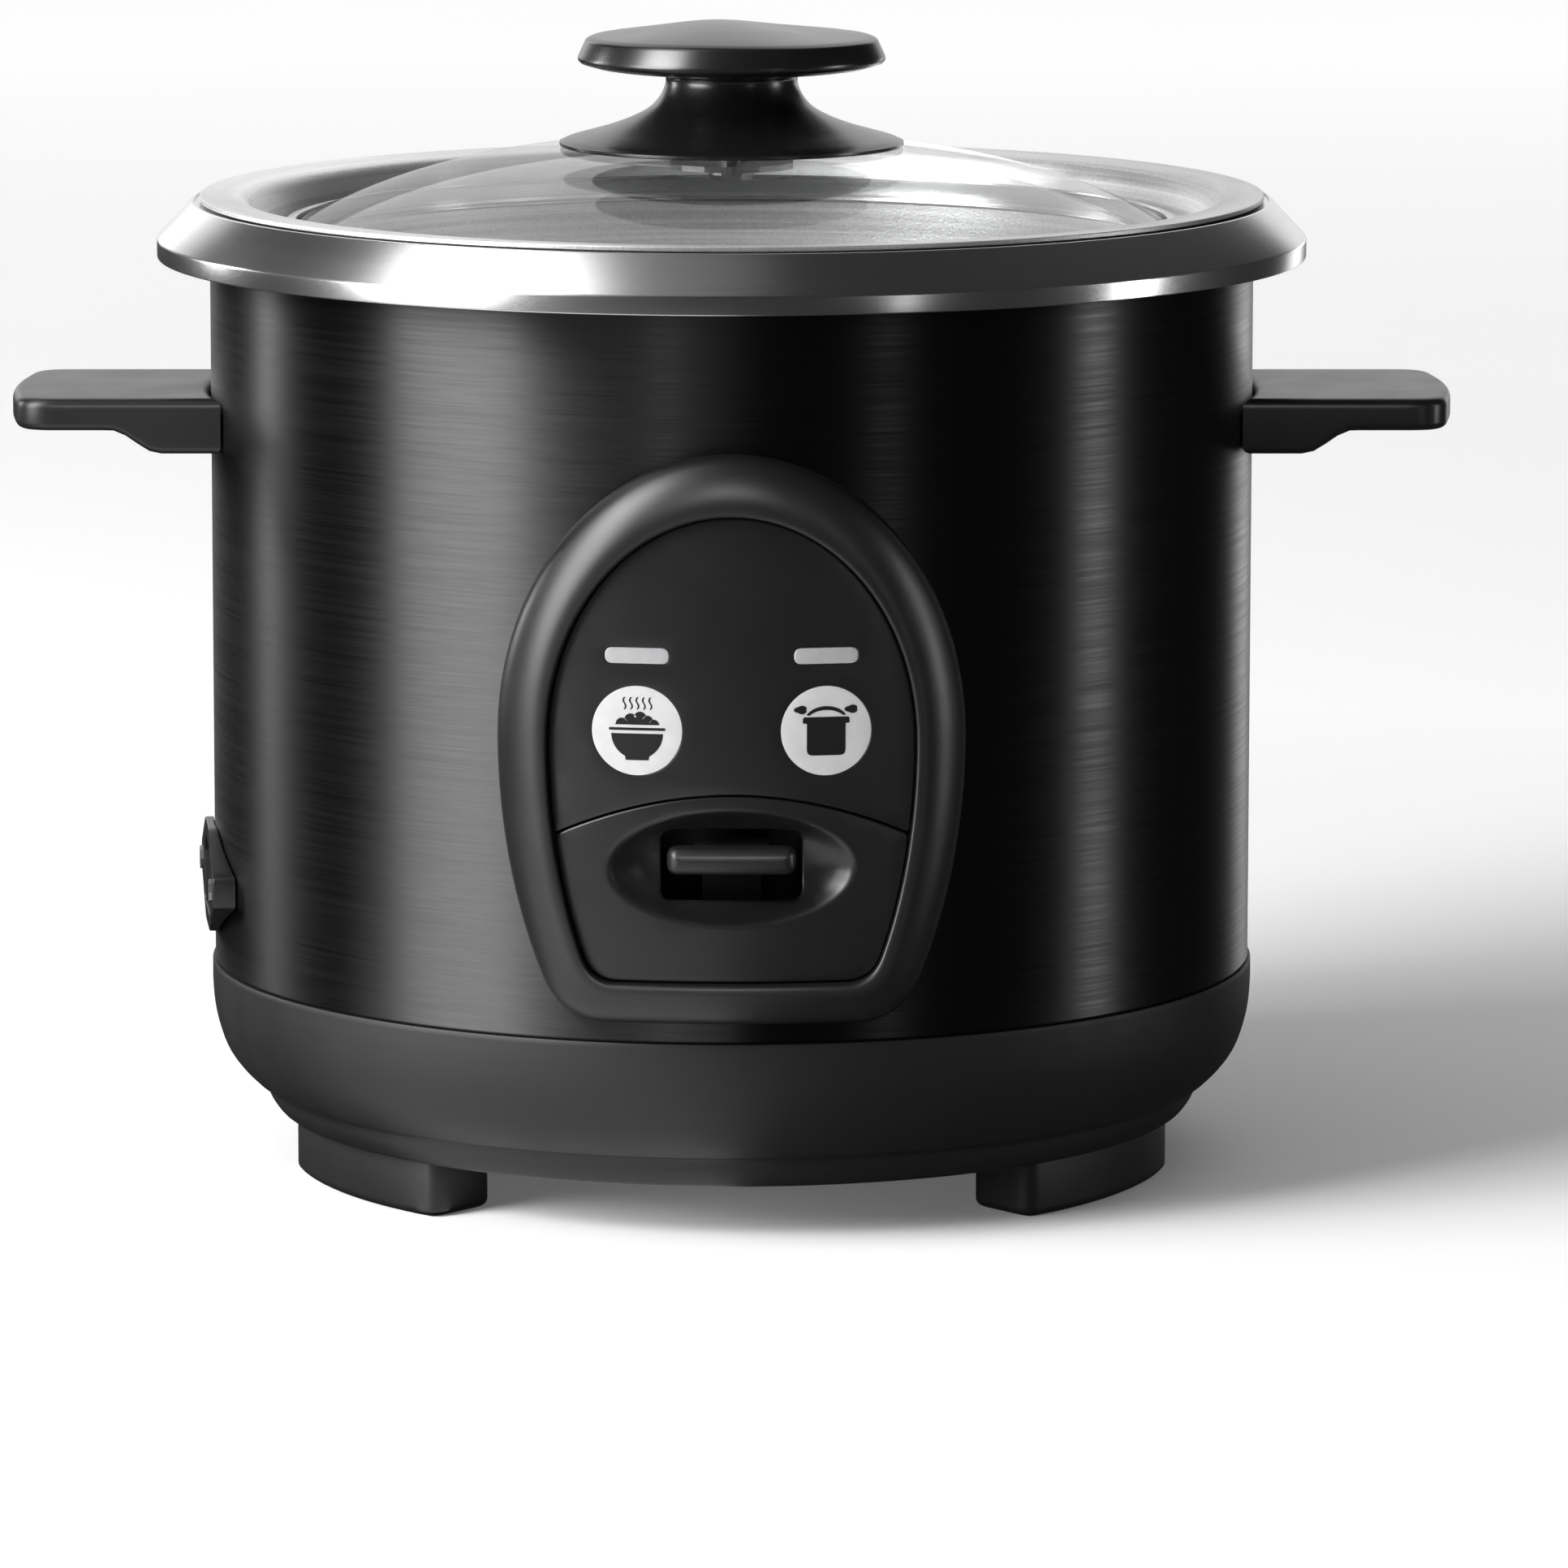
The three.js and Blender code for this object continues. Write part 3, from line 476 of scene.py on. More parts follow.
def brushed(name, dark, light, roughness, along=(30, 30, 2600), anisotropy=0.7, bump=0.05, spread=0.12):
    """Metal brushed round the Z axis: long thin streaks in colour, gloss and height."""
    n = Nodes(name)
    streaks = n.noise(along, 4, 0.7)
    broad = n.noise(tuple(c * 0.3 for c in along), 2)
    colour = n.blend(n.spread(streaks, 0, 1), grey(dark), grey(light))
    gloss = n.spread(broad, roughness * (1 - spread), roughness * (1 + spread))
    normal = n.bump(streaks, bump, 0.0001)
    tangent = n.add("ShaderNodeTangent", direction_type="RADIAL", axis="Z").outputs["Tangent"]
    return n.principled(colour, gloss, normal, {"Metallic": 1.0, "Anisotropic": anisotropy,
                                                "Anisotropic Rotation": 0.25, "Tangent": tangent})


def metal(name, dark, light, roughness, scale=120, bump=0.03, tint=0.0):
    """Plain metal with a faint mottle."""
    n = Nodes(name)
    mottle = n.noise(scale, 4)
    colour = n.blend(n.spread(mottle, 0, 1), grey(dark, tint), grey(light, tint))
    gloss = n.spread(n.noise(scale * 0.4, 3), roughness * 0.85, roughness * 1.15)
    normal = n.bump(n.noise(scale * 8, 2), bump, 0.0001)
    return n.principled(colour, gloss, normal, {"Metallic": 1.0})


def spun(name, dark, light, roughness):
    """Drawn aluminium: a fine sparkling grain and fine lines round the axis, over soft stripes of painted
    reflection laid into the colour.
    """
    n = Nodes(name)
    grain = n.noise(1500, 2, 0.8)
    # painted reflection: soft light and dark stripes round the axis in the colour; the grain and the fine
    # lines are the metal's own
    painted_reflection_bands = n.noise((3, 3, 210), 2)
    lines = n.noise((8, 8, 1400), 3, 0.7)
    rings = n.add("ShaderNodeMath", {0: painted_reflection_bands, 1: 0.5, 2: 0.05}, operation="MULTIPLY_ADD").outputs["Value"]
    mixed = n.add("ShaderNodeMath", {0: lines, 1: 0.25, 2: rings}, operation="MULTIPLY_ADD").outputs["Value"]
    total = n.add("ShaderNodeMath", {0: grain, 1: 0.15, 2: mixed}, operation="MULTIPLY_ADD").outputs["Value"]
    colour = n.blend(n.spread(total, 0, 1, 0.4, 0.6), grey(dark), grey(light))
    gloss = n.spread(n.noise(90, 3), roughness * 0.92, roughness * 1.08)
    normal = n.bump(grain, 0.25, 0.0003)
    return n.principled(colour, gloss, normal, {"Metallic": 0.8})


def coloured(name, first, second, roughness, metallic=0.0, scale=300, bump=0.05):
    """Any other stuff: two colours mixed in a fine mottle."""
    n = Nodes(name)
    colour = n.blend(n.spread(n.noise(scale, 3), 0, 1), (*first, 1), (*second, 1))
    gloss = n.spread(n.noise(scale * 0.3, 2), roughness * 0.9, roughness * 1.1)
    normal = n.bump(n.noise(scale * 3, 2), bump, 0.0001)
    return n.principled(colour, gloss, normal, {"Metallic": metallic})


def clear_glass(name):
    """Thin clear glass: it lets light straight through and reflects more at a shallow angle."""
    n = Nodes(name)
    facing = n.add("ShaderNodeLayerWeight", {"Blend": 0.5}).outputs["Facing"]
    steep = n.add("ShaderNodeMath", {0: facing, 1: 5.0}, operation="POWER").outputs["Value"]
    share = n.add("ShaderNodeMath", {0: steep, 1: 0.5, 2: 0.045}, operation="MULTIPLY_ADD").outputs["Value"]
    through = n.add("ShaderNodeBsdfTransparent", {"Color": (0.97, 0.975, 0.972, 1)}).outputs["BSDF"]
    gloss = n.spread(n.noise(35, 3), 0.02, 0.05)
    shine = n.add("ShaderNodeBsdfGlossy", {"Color": (1, 1, 1, 1), "Roughness": gloss}).outputs["BSDF"]
    mix = n.add("ShaderNodeMixShader", {0: share, 1: through, 2: shine})
    return n.output(mix.outputs["Shader"])


def make_materials():
    materials["black_steel"] = brushed("black_steel", 0.046, 0.063, 0.42, (60, 60, 5200), 0.92, 0.015)
    materials["polished_steel"] = brushed("polished_steel", 0.66, 0.7, 0.25, (14, 14, 900), 0.5, 0.0, 0.04)
    materials["aluminium"] = spun("aluminium", 0.4, 0.92, 0.38)
    # painted shade: the heat shield's aluminium is coloured dark so that the inside of the lever's slot looks
    # shaded
    materials["aluminium:shield_painted_shade"] = metal("shield_aluminium_painted_shade", 0.16, 0.22, 0.5, 200, 0.05)
    materials["cast_aluminium"] = metal("cast_aluminium", 0.42, 0.52, 0.45, 400, 0.15)
    materials["steel"] = metal("steel", 0.42, 0.5, 0.34)
    materials["glass"] = clear_glass("glass")
    materials["black_plastic"] = plastic("black_plastic", 0.006, 0.008, 0.36)
    materials["black_plastic:knob"] = plastic("knob_plastic", 0.005, 0.007, 0.27, 700, 0.008, 0.75)
    materials["black_plastic:bezel"] = plastic("bezel_plastic", 0.005, 0.007, 0.38, 800, 0.03, 0.6)
    # painted shade: the lever's arm is coloured near black so that the inside of its slot looks shaded
    materials["steel:lever_painted_shade"] = metal("lever_steel_painted_shade", 0.012, 0.016, 0.5)
    materials["black_plastic:base"] = plastic("base_plastic", 0.006, 0.008, 0.54, 900, 0.04)
    materials["panel_plastic"] = plastic("panel_plastic", 0.006, 0.008, 0.34, 1000, 0.03, 0.65)
    materials["lens"] = coloured("lens", (0.27, 0.27, 0.28), (0.31, 0.31, 0.31), 0.45)
    materials["print"] = coloured("print", (0.41, 0.41, 0.41), (0.45, 0.45, 0.45), 0.5)
    materials["silicone"] = coloured("silicone", (0.62, 0.62, 0.6), (0.7, 0.7, 0.68), 0.6)
    materials["insulator"] = coloured("insulator", (0.6, 0.57, 0.5), (0.72, 0.7, 0.62), 0.7)
    materials["board"] = coloured("board", (0.3, 0.18, 0.06), (0.38, 0.24, 0.09), 0.6)
    materials["brass"] = coloured("brass", (0.6, 0.46, 0.18), (0.7, 0.56, 0.25), 0.3, 1.0)
    materials["lead"] = coloured("lead", (0.4, 0.37, 0.32), (0.52, 0.48, 0.42), 0.8, 0.0, 900, 0.4)


make_materials()


# ---- lid
def dome_z(radius):
    return GLASS_EDGE_Z + GLASS_RISE * (1 - (radius / GLASS_R) ** GLASS_POWER)


def make_lid():
    """The glass dome with its hoop, its vent eyelet and the two halves of the knob."""
    hole = 5
    radii = [hole + (GLASS_R - 1.2 - hole) * k / 40 for k in range(41)]
    top = [(r, dome_z(r)) for r in radii]
    edge = [(GLASS_R - 0.2, dome_z(GLASS_R) + 0.1), (GLASS_R, dome_z(GLASS_R) - 0.8),
            (GLASS_R - 0.1, dome_z(GLASS_R) - 2), (GLASS_R - 1, 197)]
    under = [(r, dome_z(r) - GLASS_WALL) for r in reversed(radii) if r < 90.5]
    turned("lid_glass_dome", top + edge + under, "lid", "glass", ["lid_glass"])

    lip = rounded([(HOOP_R, HOOP_LOW, 0.5), (HOOP_R, 199.4, 1.4), (94.2, 200.6, 0.9),
                   (91.9, 200.95, 0.25), (91.8, 200.4, 0.1), (92.8, 199.9, 0.1),
                   (92.8, 196.1, 0.1), (90.7, 196.1, 0.2), (90.6, HOOP_LOW, 0.2)], closed=True)
    turned("lid_steel_hoop", lip, "lid", "polished_steel", ["lid_hoop"])

    slope = GLASS_RISE * GLASS_POWER * (VENT_Y / GLASS_R) ** (GLASS_POWER - 1) / GLASS_R
    tilt = Matrix.Rotation(-math.atan(slope), 4, "X")
    seat = Matrix.Translation((0, VENT_Y * MM, dome_z(VENT_Y) * MM)) @ tilt
    eyelet = rounded([(2, 1.2, 0.5), (4.9, 1.2, 0.6), (4.9, 0.3, 0.1), (2.9, 0.3, 0.1), (2.9, -4.3, 0.1),
                      (4.9, -4.3, 0.2), (4.9, -5, 0.4), (2, -5, 0.4)], closed=True)
    turned("vent_eyelet", eyelet, "lid", "steel", ["vent_grommet"], 48, seat)

    flare = spline([(36.1, 217), (34.4, 217.75), (31, 218.7), (26.4, 220), (21.1, 222), (17.3, 224.1),
                    (15.2, 226.4), (14.1, 228.7), (13.9, 230.4), (14.6, 231.3)])
    hollow = rounded([(36.3, 216.95, 0.3), (36.3, SKIRT_LOW, 0.4), (34.8, 216.25, 0.5), (25.5, 218.4, 2),
                      (16, 219.2, 1), (12, 218.6, 0.3), (2.8, 218.6, 0.1), (2.8, 228)])
    skirt = [(0, 231.4)] + flare[::-1] + hollow + [(0, 228)]
    turned("knob_flared_skirt", skirt, "lid", "black_plastic:knob", ["knob_skirt"])
    make_knob_cap()


def make_knob_cap():
    """The mushroom head: a soft-edged disc with a low ridge a little left of its middle."""
    rim = 239.0
    ridge_x, ridge_half, ridge_rise = -3.6, 15.5, 2.4
    under = spline([(15.5, 231.75), (22, 231.95), (28, 232.6), (30.8, 233.3)])
    side = rounded([(31.8, 233.6), (32.6, 234.4, 0.9), (30.7, rim - 0.5, 0.5), (29.5, rim, 0.5)])
    crown = spline([(28.4, rim + 0.15), (24, rim + 0.45), (17, rim + 0.65), (9, rim + 0.7), (0.0, rim + 0.7)])
    bm = bmesh.new()
    add_lathe(bm, [(0, 231.7)] + under + side + crown)
    for corner in bm.verts:
        x, y, z = (c / MM for c in corner.co)
        reach = math.hypot(x, y) / KNOB_R
        weight = max(0.0, 1 - reach ** 2) ** 0.8 if z > 237 else 0.0
        ridge = ridge_rise * math.exp(-((x - ridge_x) / ridge_half) ** 2) * (1 - (y / 40) ** 2)
        corner.co.z = min(z + weight * ridge, KNOB_TOP) * MM
    finish_mesh("knob_mushroom_cap", bm, "lid", "black_plastic:knob", ["knob_cap"])


# ---- pot, rim and drum
def make_pot():
    wall, bend = 1.5, 18
    radius = 94.5
    flange = FLANGE_R - FLANGE_GAP
    centre = (radius - bend, POT_BOTTOM + bend)
    outside = [(0, POT_BOTTOM)] + arc(centre, bend, -90, 0, 12)
    neck = rounded([(radius, 180), (radius, 193.9, 0.8), (98.1, 194, 1), (99, 196.7, 1), (102.8, 203.5, 2),
                    (104.2, 204.8, 0.8), (110.5, 204.8, 0.3), (flange, 205.3, 0.2)])[1:]
    mouth = rounded([(flange, 205.5, 0), (flange, FLANGE_TOP, 0.3), (103.1, 205.75, 1.1),
                     (101.2, 204, 1.5), (97.7, 197.4, 1.6), (96.6, 195.4, 0.8),
                     (radius - wall, 195.3, 0.6), (radius - wall, 180)])[1:]
    inside_bend = arc(centre, bend - wall, 0, -90, 12)
    profile = outside + neck + mouth + inside_bend + [(0, POT_BOTTOM + wall)]
    turned("cooking_pot", profile, "pot", "aluminium", ["inner_pot"])


def make_collar():
    """A steel ring: an upright lip, a slope, a narrow flat top and a step under the pot's flange."""
    top = COLLAR_TOP - COLLAR_BELOW_FLANGE
    crest_inner = COLLAR_CREST_R - 0.5
    rim = rounded([(COLLAR_R, COLLAR_LIP, 0.3), (COLLAR_R, 197.1, 0.4), (COLLAR_CREST_R, top, 0.2),
                   (crest_inner, top, 0.1), (crest_inner, 204.5, 0.2), (106, 204.5, 0.8),
                   (106, COLLAR_LOW, 0.2), (107, COLLAR_LOW, 0.2), (107, 203.5, 0.3), (112, 203.5, 0.3),
                   (119.9, 196.3, 0.4), (119.9, COLLAR_LIP, 0.2)], closed=True)
    turned("rim_collar", rim, "housing", "polished_steel", ["overflow_collar"], 256)


def make_shell():
    """The drum, with the panel's cut-out made by leaving out the faces inside it."""
    wall, bevel = 0.8, 0.3
    rows, columns = 90, 360
    cutout = egg(**CUTOUT)
    bm = bmesh.new()
    start = SHELL_LOW + bevel
    heights = [SHELL_LOW] + [start + (SHELL_HIGH - start) * k / rows for k in range(rows + 1)]
    layers = []
    for radius, lip in ((SHELL_R, -0.25), (SHELL_R - wall, 0.25)):
        radii = [radius + lip] + [radius] * (rows + 1)
        layers.append([new_corners(bm, level_circle(r, z, columns)) for r, z in zip(radii, heights)])

    def is_open(i, k):
        angle = 2 * math.pi * (k + 0.5) / columns
        x = SHELL_R * math.sin(angle)
        return math.cos(angle) > 0 and inside((x, (heights[i] + heights[i + 1]) / 2), cutout)

    last = len(heights) - 1
    for i in range(last):
        for k in range(columns):
            if is_open(i, k):
                continue
            n = (k + 1) % columns
            for grid in layers:
                bm.faces.new((grid[i][k], grid[i][n], grid[i + 1][n], grid[i + 1][k]))
            sides = (((i, k), (i, n), i == 0 or is_open(i - 1, k)),
                     ((i + 1, n), (i + 1, k), i + 1 == last or is_open(i + 1, k)),
                     ((i + 1, k), (i, k), is_open(i, (k - 1) % columns)),
                     ((i, n), (i + 1, n), is_open(i, n)))
            for (ai, ak), (bi, bk), bare in sides:
                if bare:
                    bm.faces.new((layers[0][ai][ak], layers[0][bi][bk], layers[1][bi][bk], layers[1][ai][ak]))
    finish_mesh("drum_shell", bm, "housing", "black_steel", ["outer_shell"])


def make_shield():
    """The bowl between the drum and the pot, with a hole in its floor."""
    top, wall = cad("heat_shield")[1][2], 0.8
    r, low_r, floor = 98.5, 88.5, 66
    outside = [(108.7, top, 0.2), (108.7, top - wall, 0.2), (r + wall, top - wall, 0.8),
               (r + wall, 98.2, 6), (low_r + wall, 80.2, 6), (low_r + wall, floor - wall, 3)]
    bottom = [(15, floor - wall, 0.2), (15, floor, 0.2)]
    lining = [(low_r, floor, 2.4), (low_r, 80.4, 6), (r, 98.4, 6), (r, top, 1)]
    bowl = rounded(outside + bottom + lining, closed=True)
    # the bowl's dark aluminium is painted shade for the lever's slot
    turned("shield_bowl", bowl, "housing", "aluminium:shield_painted_shade", ["heat_shield"])


def make_base():
    """The plastic bowl under the drum, with a stepped foot and an upright brim inside the drum."""
    outer = spline([(BASE_R - 0.2, 43.5), (110.6, 39), (110.2, 34), (109.2, 29.5), (107.6, 25.3),
                    (105.2, 21.9), (102.6, 19.3)])
    step = [(102.2, 19, 0.4), (99.5, 18.1, 0.9), (98.9, 14.9, 1.2), (96.6, BASE_FLOOR, 1.4)]
    floor = [(66, BASE_FLOOR, 0.5), (66, 14.2, 0.5), (95, 14.2, 1)]
    lining = [(97, 19.2, 2), (103.6, 24.6, 5), (107, 34, 6), (106.6, 50, 0.4)]
    brim = [(108.8, 50, 0.6), (108.8, 43.9, 0.1), (BASE_R - 0.4, 43.9, 0.3)]
    profile = outer + rounded(step + floor + lining + brim, steps=4)
    turned("base_bowl", profile, "housing", "black_plastic:base", ["base_housing"])


def make_feet():
    """Three curved blocks with round corners."""
    outer_r, inner_r, spread = 94.2, 76.0, 19.3
    steps = 40
    for name, from_front in (("foot_front_left", -60), ("foot_front_right", 60), ("foot_rear", 180)):
        middle = from_front - 90
        block = arc((0, 0), outer_r, middle - spread, middle + spread, steps)
        block += arc((0, 0), inner_r, middle + spread, middle - spread, steps)
        ends = (0, steps, steps + 1, 2 * steps + 1)
        corners = [(*p, 4.5) if k in ends else p for k, p in enumerate(block)]
        outline = rounded(soft_corners(corners), 6, closed=True)
        slab(name.replace("foot", "base_foot"), "housing", "black_plastic:base", [name], outline=outline,
             top=FOOT_TOP, bottom=0, place=flat_z, radius=0.2, low_radius=1.8, spacing=5)


def soft_corners(points):
    """Drops the close neighbours of a corner that has a cut, so that there is room to round it."""
    marked = [Vector(p[:2]) for p in points if len(p) > 2]
    return [p for p in points
            if len(p) > 2 or all((Vector(p) - corner).length > 5.5 for corner in marked)]


# ---- handles
def make_handles():
    """Two flat grips that swell downwards near the drum."""
    grip_low = HANDLE_TOP - HANDLE_PLATE
    swell_end, swell_start = 119.6, 129.8

    def under(u, v):
        t = min(1.0, max(0.0, (swell_start - abs(u)) / (swell_start - swell_end)))
        return grip_low + (HANDLE_ROOT - grip_low) * t * t * (3 - 2 * t)

    seat = SHELL_R + 0.35
    angle = math.degrees(math.asin(HANDLE_HALF / seat))
    root = arc((0, 0), seat, angle, -angle, 16)
    corner_x = 149.1
    tip = rounded([(seat, -HANDLE_HALF), (corner_x, -HANDLE_HALF, 7.5), (HANDLE_TIP + 0.35, 0, 30),
                   (corner_x, HANDLE_HALF, 7.5), (seat, HANDLE_HALF)], 10)[1:-1]
    outline = evenly(root + tip, 2.5)
    for word, side in (("left", -1), ("right", 1)):
        def place(u, v, height, side=side):
            return (side * u, v, height)

        slab(f"side_handle_{word}", "housing", "black_plastic", [f"handle_{word}"], outline=outline,
             top=HANDLE_TOP, bottom=under, place=place, radius=2.0, low_radius=1.6, spacing=2.2, steps=8)


# ---- control panel
def make_bezel():
    """The egg-shaped frame: one section, from the outer outline to the window, carried all round."""
    crown = spline([(0.012, 1.6), (0.04, 2.8), (0.13, 4.2), (0.27, 5.5), (0.42, 6.45), (0.57, 7.1),
                    (0.71, 7.45), (0.84, 7.5), (0.94, 7.3), (0.985, 6.85), (1.0, 6.2)], 4)
    section = [(0, 0.35), (0.006, 1.2)] + crown + [(1, 2.3), (1.3, 2.3), (1.3, 0.4)]
    outer = egg(**BEZEL)
    inner = egg(**WINDOW)
    bm = bmesh.new()
    rings = []
    for share, off in section:
        points = [on_drum(a[0] + (b[0] - a[0]) * share, a[1] + (b[1] - a[1]) * share, off)
                  for a, b in zip(outer, inner)]
        rings.append(new_corners(bm, points))
    skin(bm, rings + rings[:1])
    finish_mesh("panel_egg_bezel", bm, "housing", "black_plastic:bezel", ["panel_bezel"])


def seam_z(x):
    """The arc where the upper and the lower plate meet."""
    return SEAM_Z - SEAM_DROP * (x / SEAM_HALF) ** 2


def half_window(above):
    """The window's outline above or below the seam arc, with small round corners where they meet."""
    loop = egg(**grown(WINDOW, -0.3))
    offset = SEAM_GAP if above else -SEAM_GAP
    kept = [p for p in loop if (p[1] > seam_z(p[0]) + offset) == above]
    start = next(k for k, p in enumerate(loop) if p in kept and loop[k - 1] not in kept)
    ordered = [p for p in loop[start:] + loop[:start] if p in kept]
    half = abs(ordered[0][0] - ordered[-1][0]) / 2
    count = 28
    xs = [half * (1 - 2 * k / count) for k in range(count + 1)]
    if ordered[-1][0] < 0:
        xs.reverse()
    seam = [(x, seam_z(x) + offset) for x in xs]
    corners = [(*seam[0], 1.0)] + seam[1:-1] + [(*seam[-1], 1.0)]
    return rounded(ordered[1:-1] + corners, 4, closed=True)


def dish_depth(u, v):
    """The dish rolls in over its soft rim, falls steeply and ends on a flat floor."""
    reach = math.hypot(u / DISH["half_x"], (v - DISH["z"]) / DISH["half_z"])
    t = min(1.0, max(0.0, (1.0 - reach) / DISH["wall"]))
    soft = DISH["soft"]
    rolled = t * t / (2 * soft) if t < soft else t - soft / 2
    return DISH["depth"] * (1 - (1 - rolled / (1 - soft / 2)) ** 1.8)


def plate_back(u, v):
    """The plate is thicker behind the dish, and stays clear of the lever at every angle."""
    return PANEL_BACK if dish_depth(u, v) < 0.05 else DISH["back"]


def dish_rings():
    """Extra points where the dish curves most."""
    shares = (0.58, 0.64, 0.7, 0.75, 0.8, 0.85, 0.89, 0.92, 0.94, 0.96, 0.98, 1.0, 1.03)
    count = 104
    rings = []
    for share in shares:
        for k in range(count):
            a = 2 * math.pi * k / count
            x = share * DISH["half_x"] * math.cos(a)
            rings.append((x, DISH["z"] + share * DISH["half_z"] * math.sin(a)))
    return rings


def stadium(x, half_x, half_z):
    """A lamp's outline: a bar with round ends."""
    return rounded_box(x - half_x, x + half_x, LAMP_Z - half_z, LAMP_Z + half_z, half_z * 0.99, 10)


def make_panel():
    """The frame, the two plates, the lamps and the discs with their pictograms."""
    make_bezel()
    lamps = (("keep_warm", -LAMP_X), ("cook", LAMP_X))
    windows = [stadium(x, 6.65, 1.8) for _, x in lamps]
    wells = [circle(x, DISC_Z, DISC_R + 0.12, 72) for _, x in lamps]
    slab("indicator_plate", "housing", "panel_plastic", ["indicator_panel"], outline=half_window(True),
         holes=windows + wells, top=PANEL_FACE, bottom=PANEL_BACK, place=on_drum, radius=0.45,
         hole_radius=0.12, spacing=3.0)

    slot = rounded_box(-SLOT["half_x"], SLOT["half_x"], SLOT["low"], SLOT["high"], SLOT["corner"])
    slab("lever_plate", "housing", "panel_plastic", ["switch_plate"], outline=half_window(False),
         holes=[evenly(slot, 1.2)], top=lambda u, v: PANEL_FACE - dish_depth(u, v), bottom=plate_back,
         place=on_drum, radius=0.45, hole_radius=0.5, spacing=2.6, extra=dish_rings())

    for word, x in lamps:
        slab(f"{word}_light", "housing", "lens", [f"{word}_lens"], outline=stadium(x, 6.5, 1.65),
             top=PANEL_FACE + 0.12, bottom=PANEL_BACK, place=on_drum, radius=0.35, spacing=1.2)
        slab(f"{word}_badge", "housing", "print", [f"{word}_disc"], outline=circle(x, DISC_Z, DISC_R, 72),
             top=PANEL_FACE - 0.02, bottom=PANEL_FACE - 0.6, place=on_drum, radius=0.1, spacing=2.4)
    make_signs()


def sign_shapes_bowl(x, z):
    """A bowl of rice with steam, as closed outlines."""
    bowl = [(x - 5.2, z + 0.1), (x + 5.2, z + 0.1)] + arc((x, z + 0.1), 5.2, -5, -62, 10)
    bowl += [(x + 2.3, z - 5.3), (x - 2.3, z - 5.3)] + arc((x, z + 0.1), 5.2, -118, -175, 10)
    band = rounded_box(x - 5.7, x + 5.7, z + 0.75, z + 1.3, 0.25, 3)
    rice = [(x - 4.4, z + 1.9)]
    for centre, radius in (((x - 3.1, z + 2.1), 1.2), ((x - 1.3, z + 2.9), 1.3), ((x + 0.6, z + 3.3), 1.3),
                           ((x + 2.1, z + 2.7), 1.1), ((x + 3.4, z + 2.0), 1.0)):
        rice += arc(centre, radius, 170, 20, 6)
    rice.append((x + 4.5, z + 1.9))
    shapes = [bowl, band, rice]
    for k in range(5):
        shapes.append(wave(x - 2.6 + 1.3 * k, z + 5.0, 2.5, 0.16))
    return shapes


def wave(x, z, height, half):
    """A thin wavy upright stroke."""
    steps = 12
    bend = [(x + 0.28 * math.sin(2 * math.pi * k / steps) + 0.12 * k / steps, z + height * k / steps)
            for k in range(steps + 1)]
    return [(a - half, b) for a, b in bend] + [(a + half, b) for a, b in reversed(bend)]


def sign_shapes_pot(x, z):
    """A cooking pot with side lugs, a low lid and a puff of steam on each side."""
    right = [(3.9, -5.2, 1.2), (3.9, 1.3, 0.2), (4.7, 1.3, 0.2), (4.7, 2.6, 0.5)]
    left = [(-a, b, cut) for a, b, cut in reversed(right)]
    pot = rounded([(x + a, z + b, cut) for a, b, cut in right + left], closed=True)
    top, under = arc((x, z), 1, 30, 150, 16), arc((x, z), 1, 145, 35, 16)
    lid = [(x + (a - x) * 4.6, z + 1.3 + (b - z) * 3.5) for a, b in top]
    lid += [(x + (a - x) * 4.2, z + 1.3 + (b - z) * 2.7) for a, b in under]
    puffs = [[(x + side * 5.1 + a, z + 4.1 + b) for a, b in puff()] for side in (-1, 1)]
    return [pot, lid] + puffs


def puff():
    """A small cloud outline."""
    out = []
    count = 36
    for k in range(count):
        angle = 2 * math.pi * k / count
        radius = 0.85 + 0.28 * abs(math.sin(1.5 * angle))
        out.append((1.25 * radius * math.cos(angle), 0.8 * radius * math.sin(angle)))
    return out


def make_signs():
    """The pictograms are thin black inlays on the white discs, without any words."""
    signs = (("keep_warm_sign", sign_shapes_bowl(-LAMP_X, DISC_Z - 0.7)),
             ("cook_sign", sign_shapes_pot(LAMP_X, DISC_Z + 0.2)))
    for name, shapes in signs:
        bm = bmesh.new()
        for shape in shapes:
            add_slab(bm, outline=evenly(shape, 0.9), top=PANEL_FACE + 0.03,
                     bottom=PANEL_FACE - 0.05, place=on_drum, radius=0, spacing=1.1)
        finish_mesh(name, bm, "housing", "panel_plastic")


def make_lever_button():
    """The round finger bar, a little crowned along its length, and its stem."""
    low, high = cad("lever_button")
    z = (low[2] + high[2]) / 2
    crown = 1.1

    def face(u, v):
        return -low[1] - crown + crown * math.sqrt(max(0, 1 - (u / 15) ** 2))

    bm = bmesh.new()
    add_slab(bm, outline=evenly(rounded_box(-13, 13, z - 2.8, z + 2.8, 2.3), 1.5), top=face,
             bottom=113, place=facing_front, radius=2.6, low_radius=0.8, spacing=1.3, steps=8)
    add_slab(bm, outline=rounded_box(-8, 8, z - 2.1, z + 2.2, 0.6), top=113.4,
             bottom=-high[1], place=facing_front, radius=0, spacing=3)
    finish_mesh("cook_lever_bar", bm, "cook_lever", "black_plastic:bezel", ["lever_button"])


# ---- power inlet
def to_inlet(u, v, height):
    """Drawn facing the front, then turned to the drum's left side."""
    x, y = u, -height
    c, s = math.cos(INLET_ANGLE), math.sin(INLET_ANGLE)
    return (x * c - y * s, x * s + y * c, v)


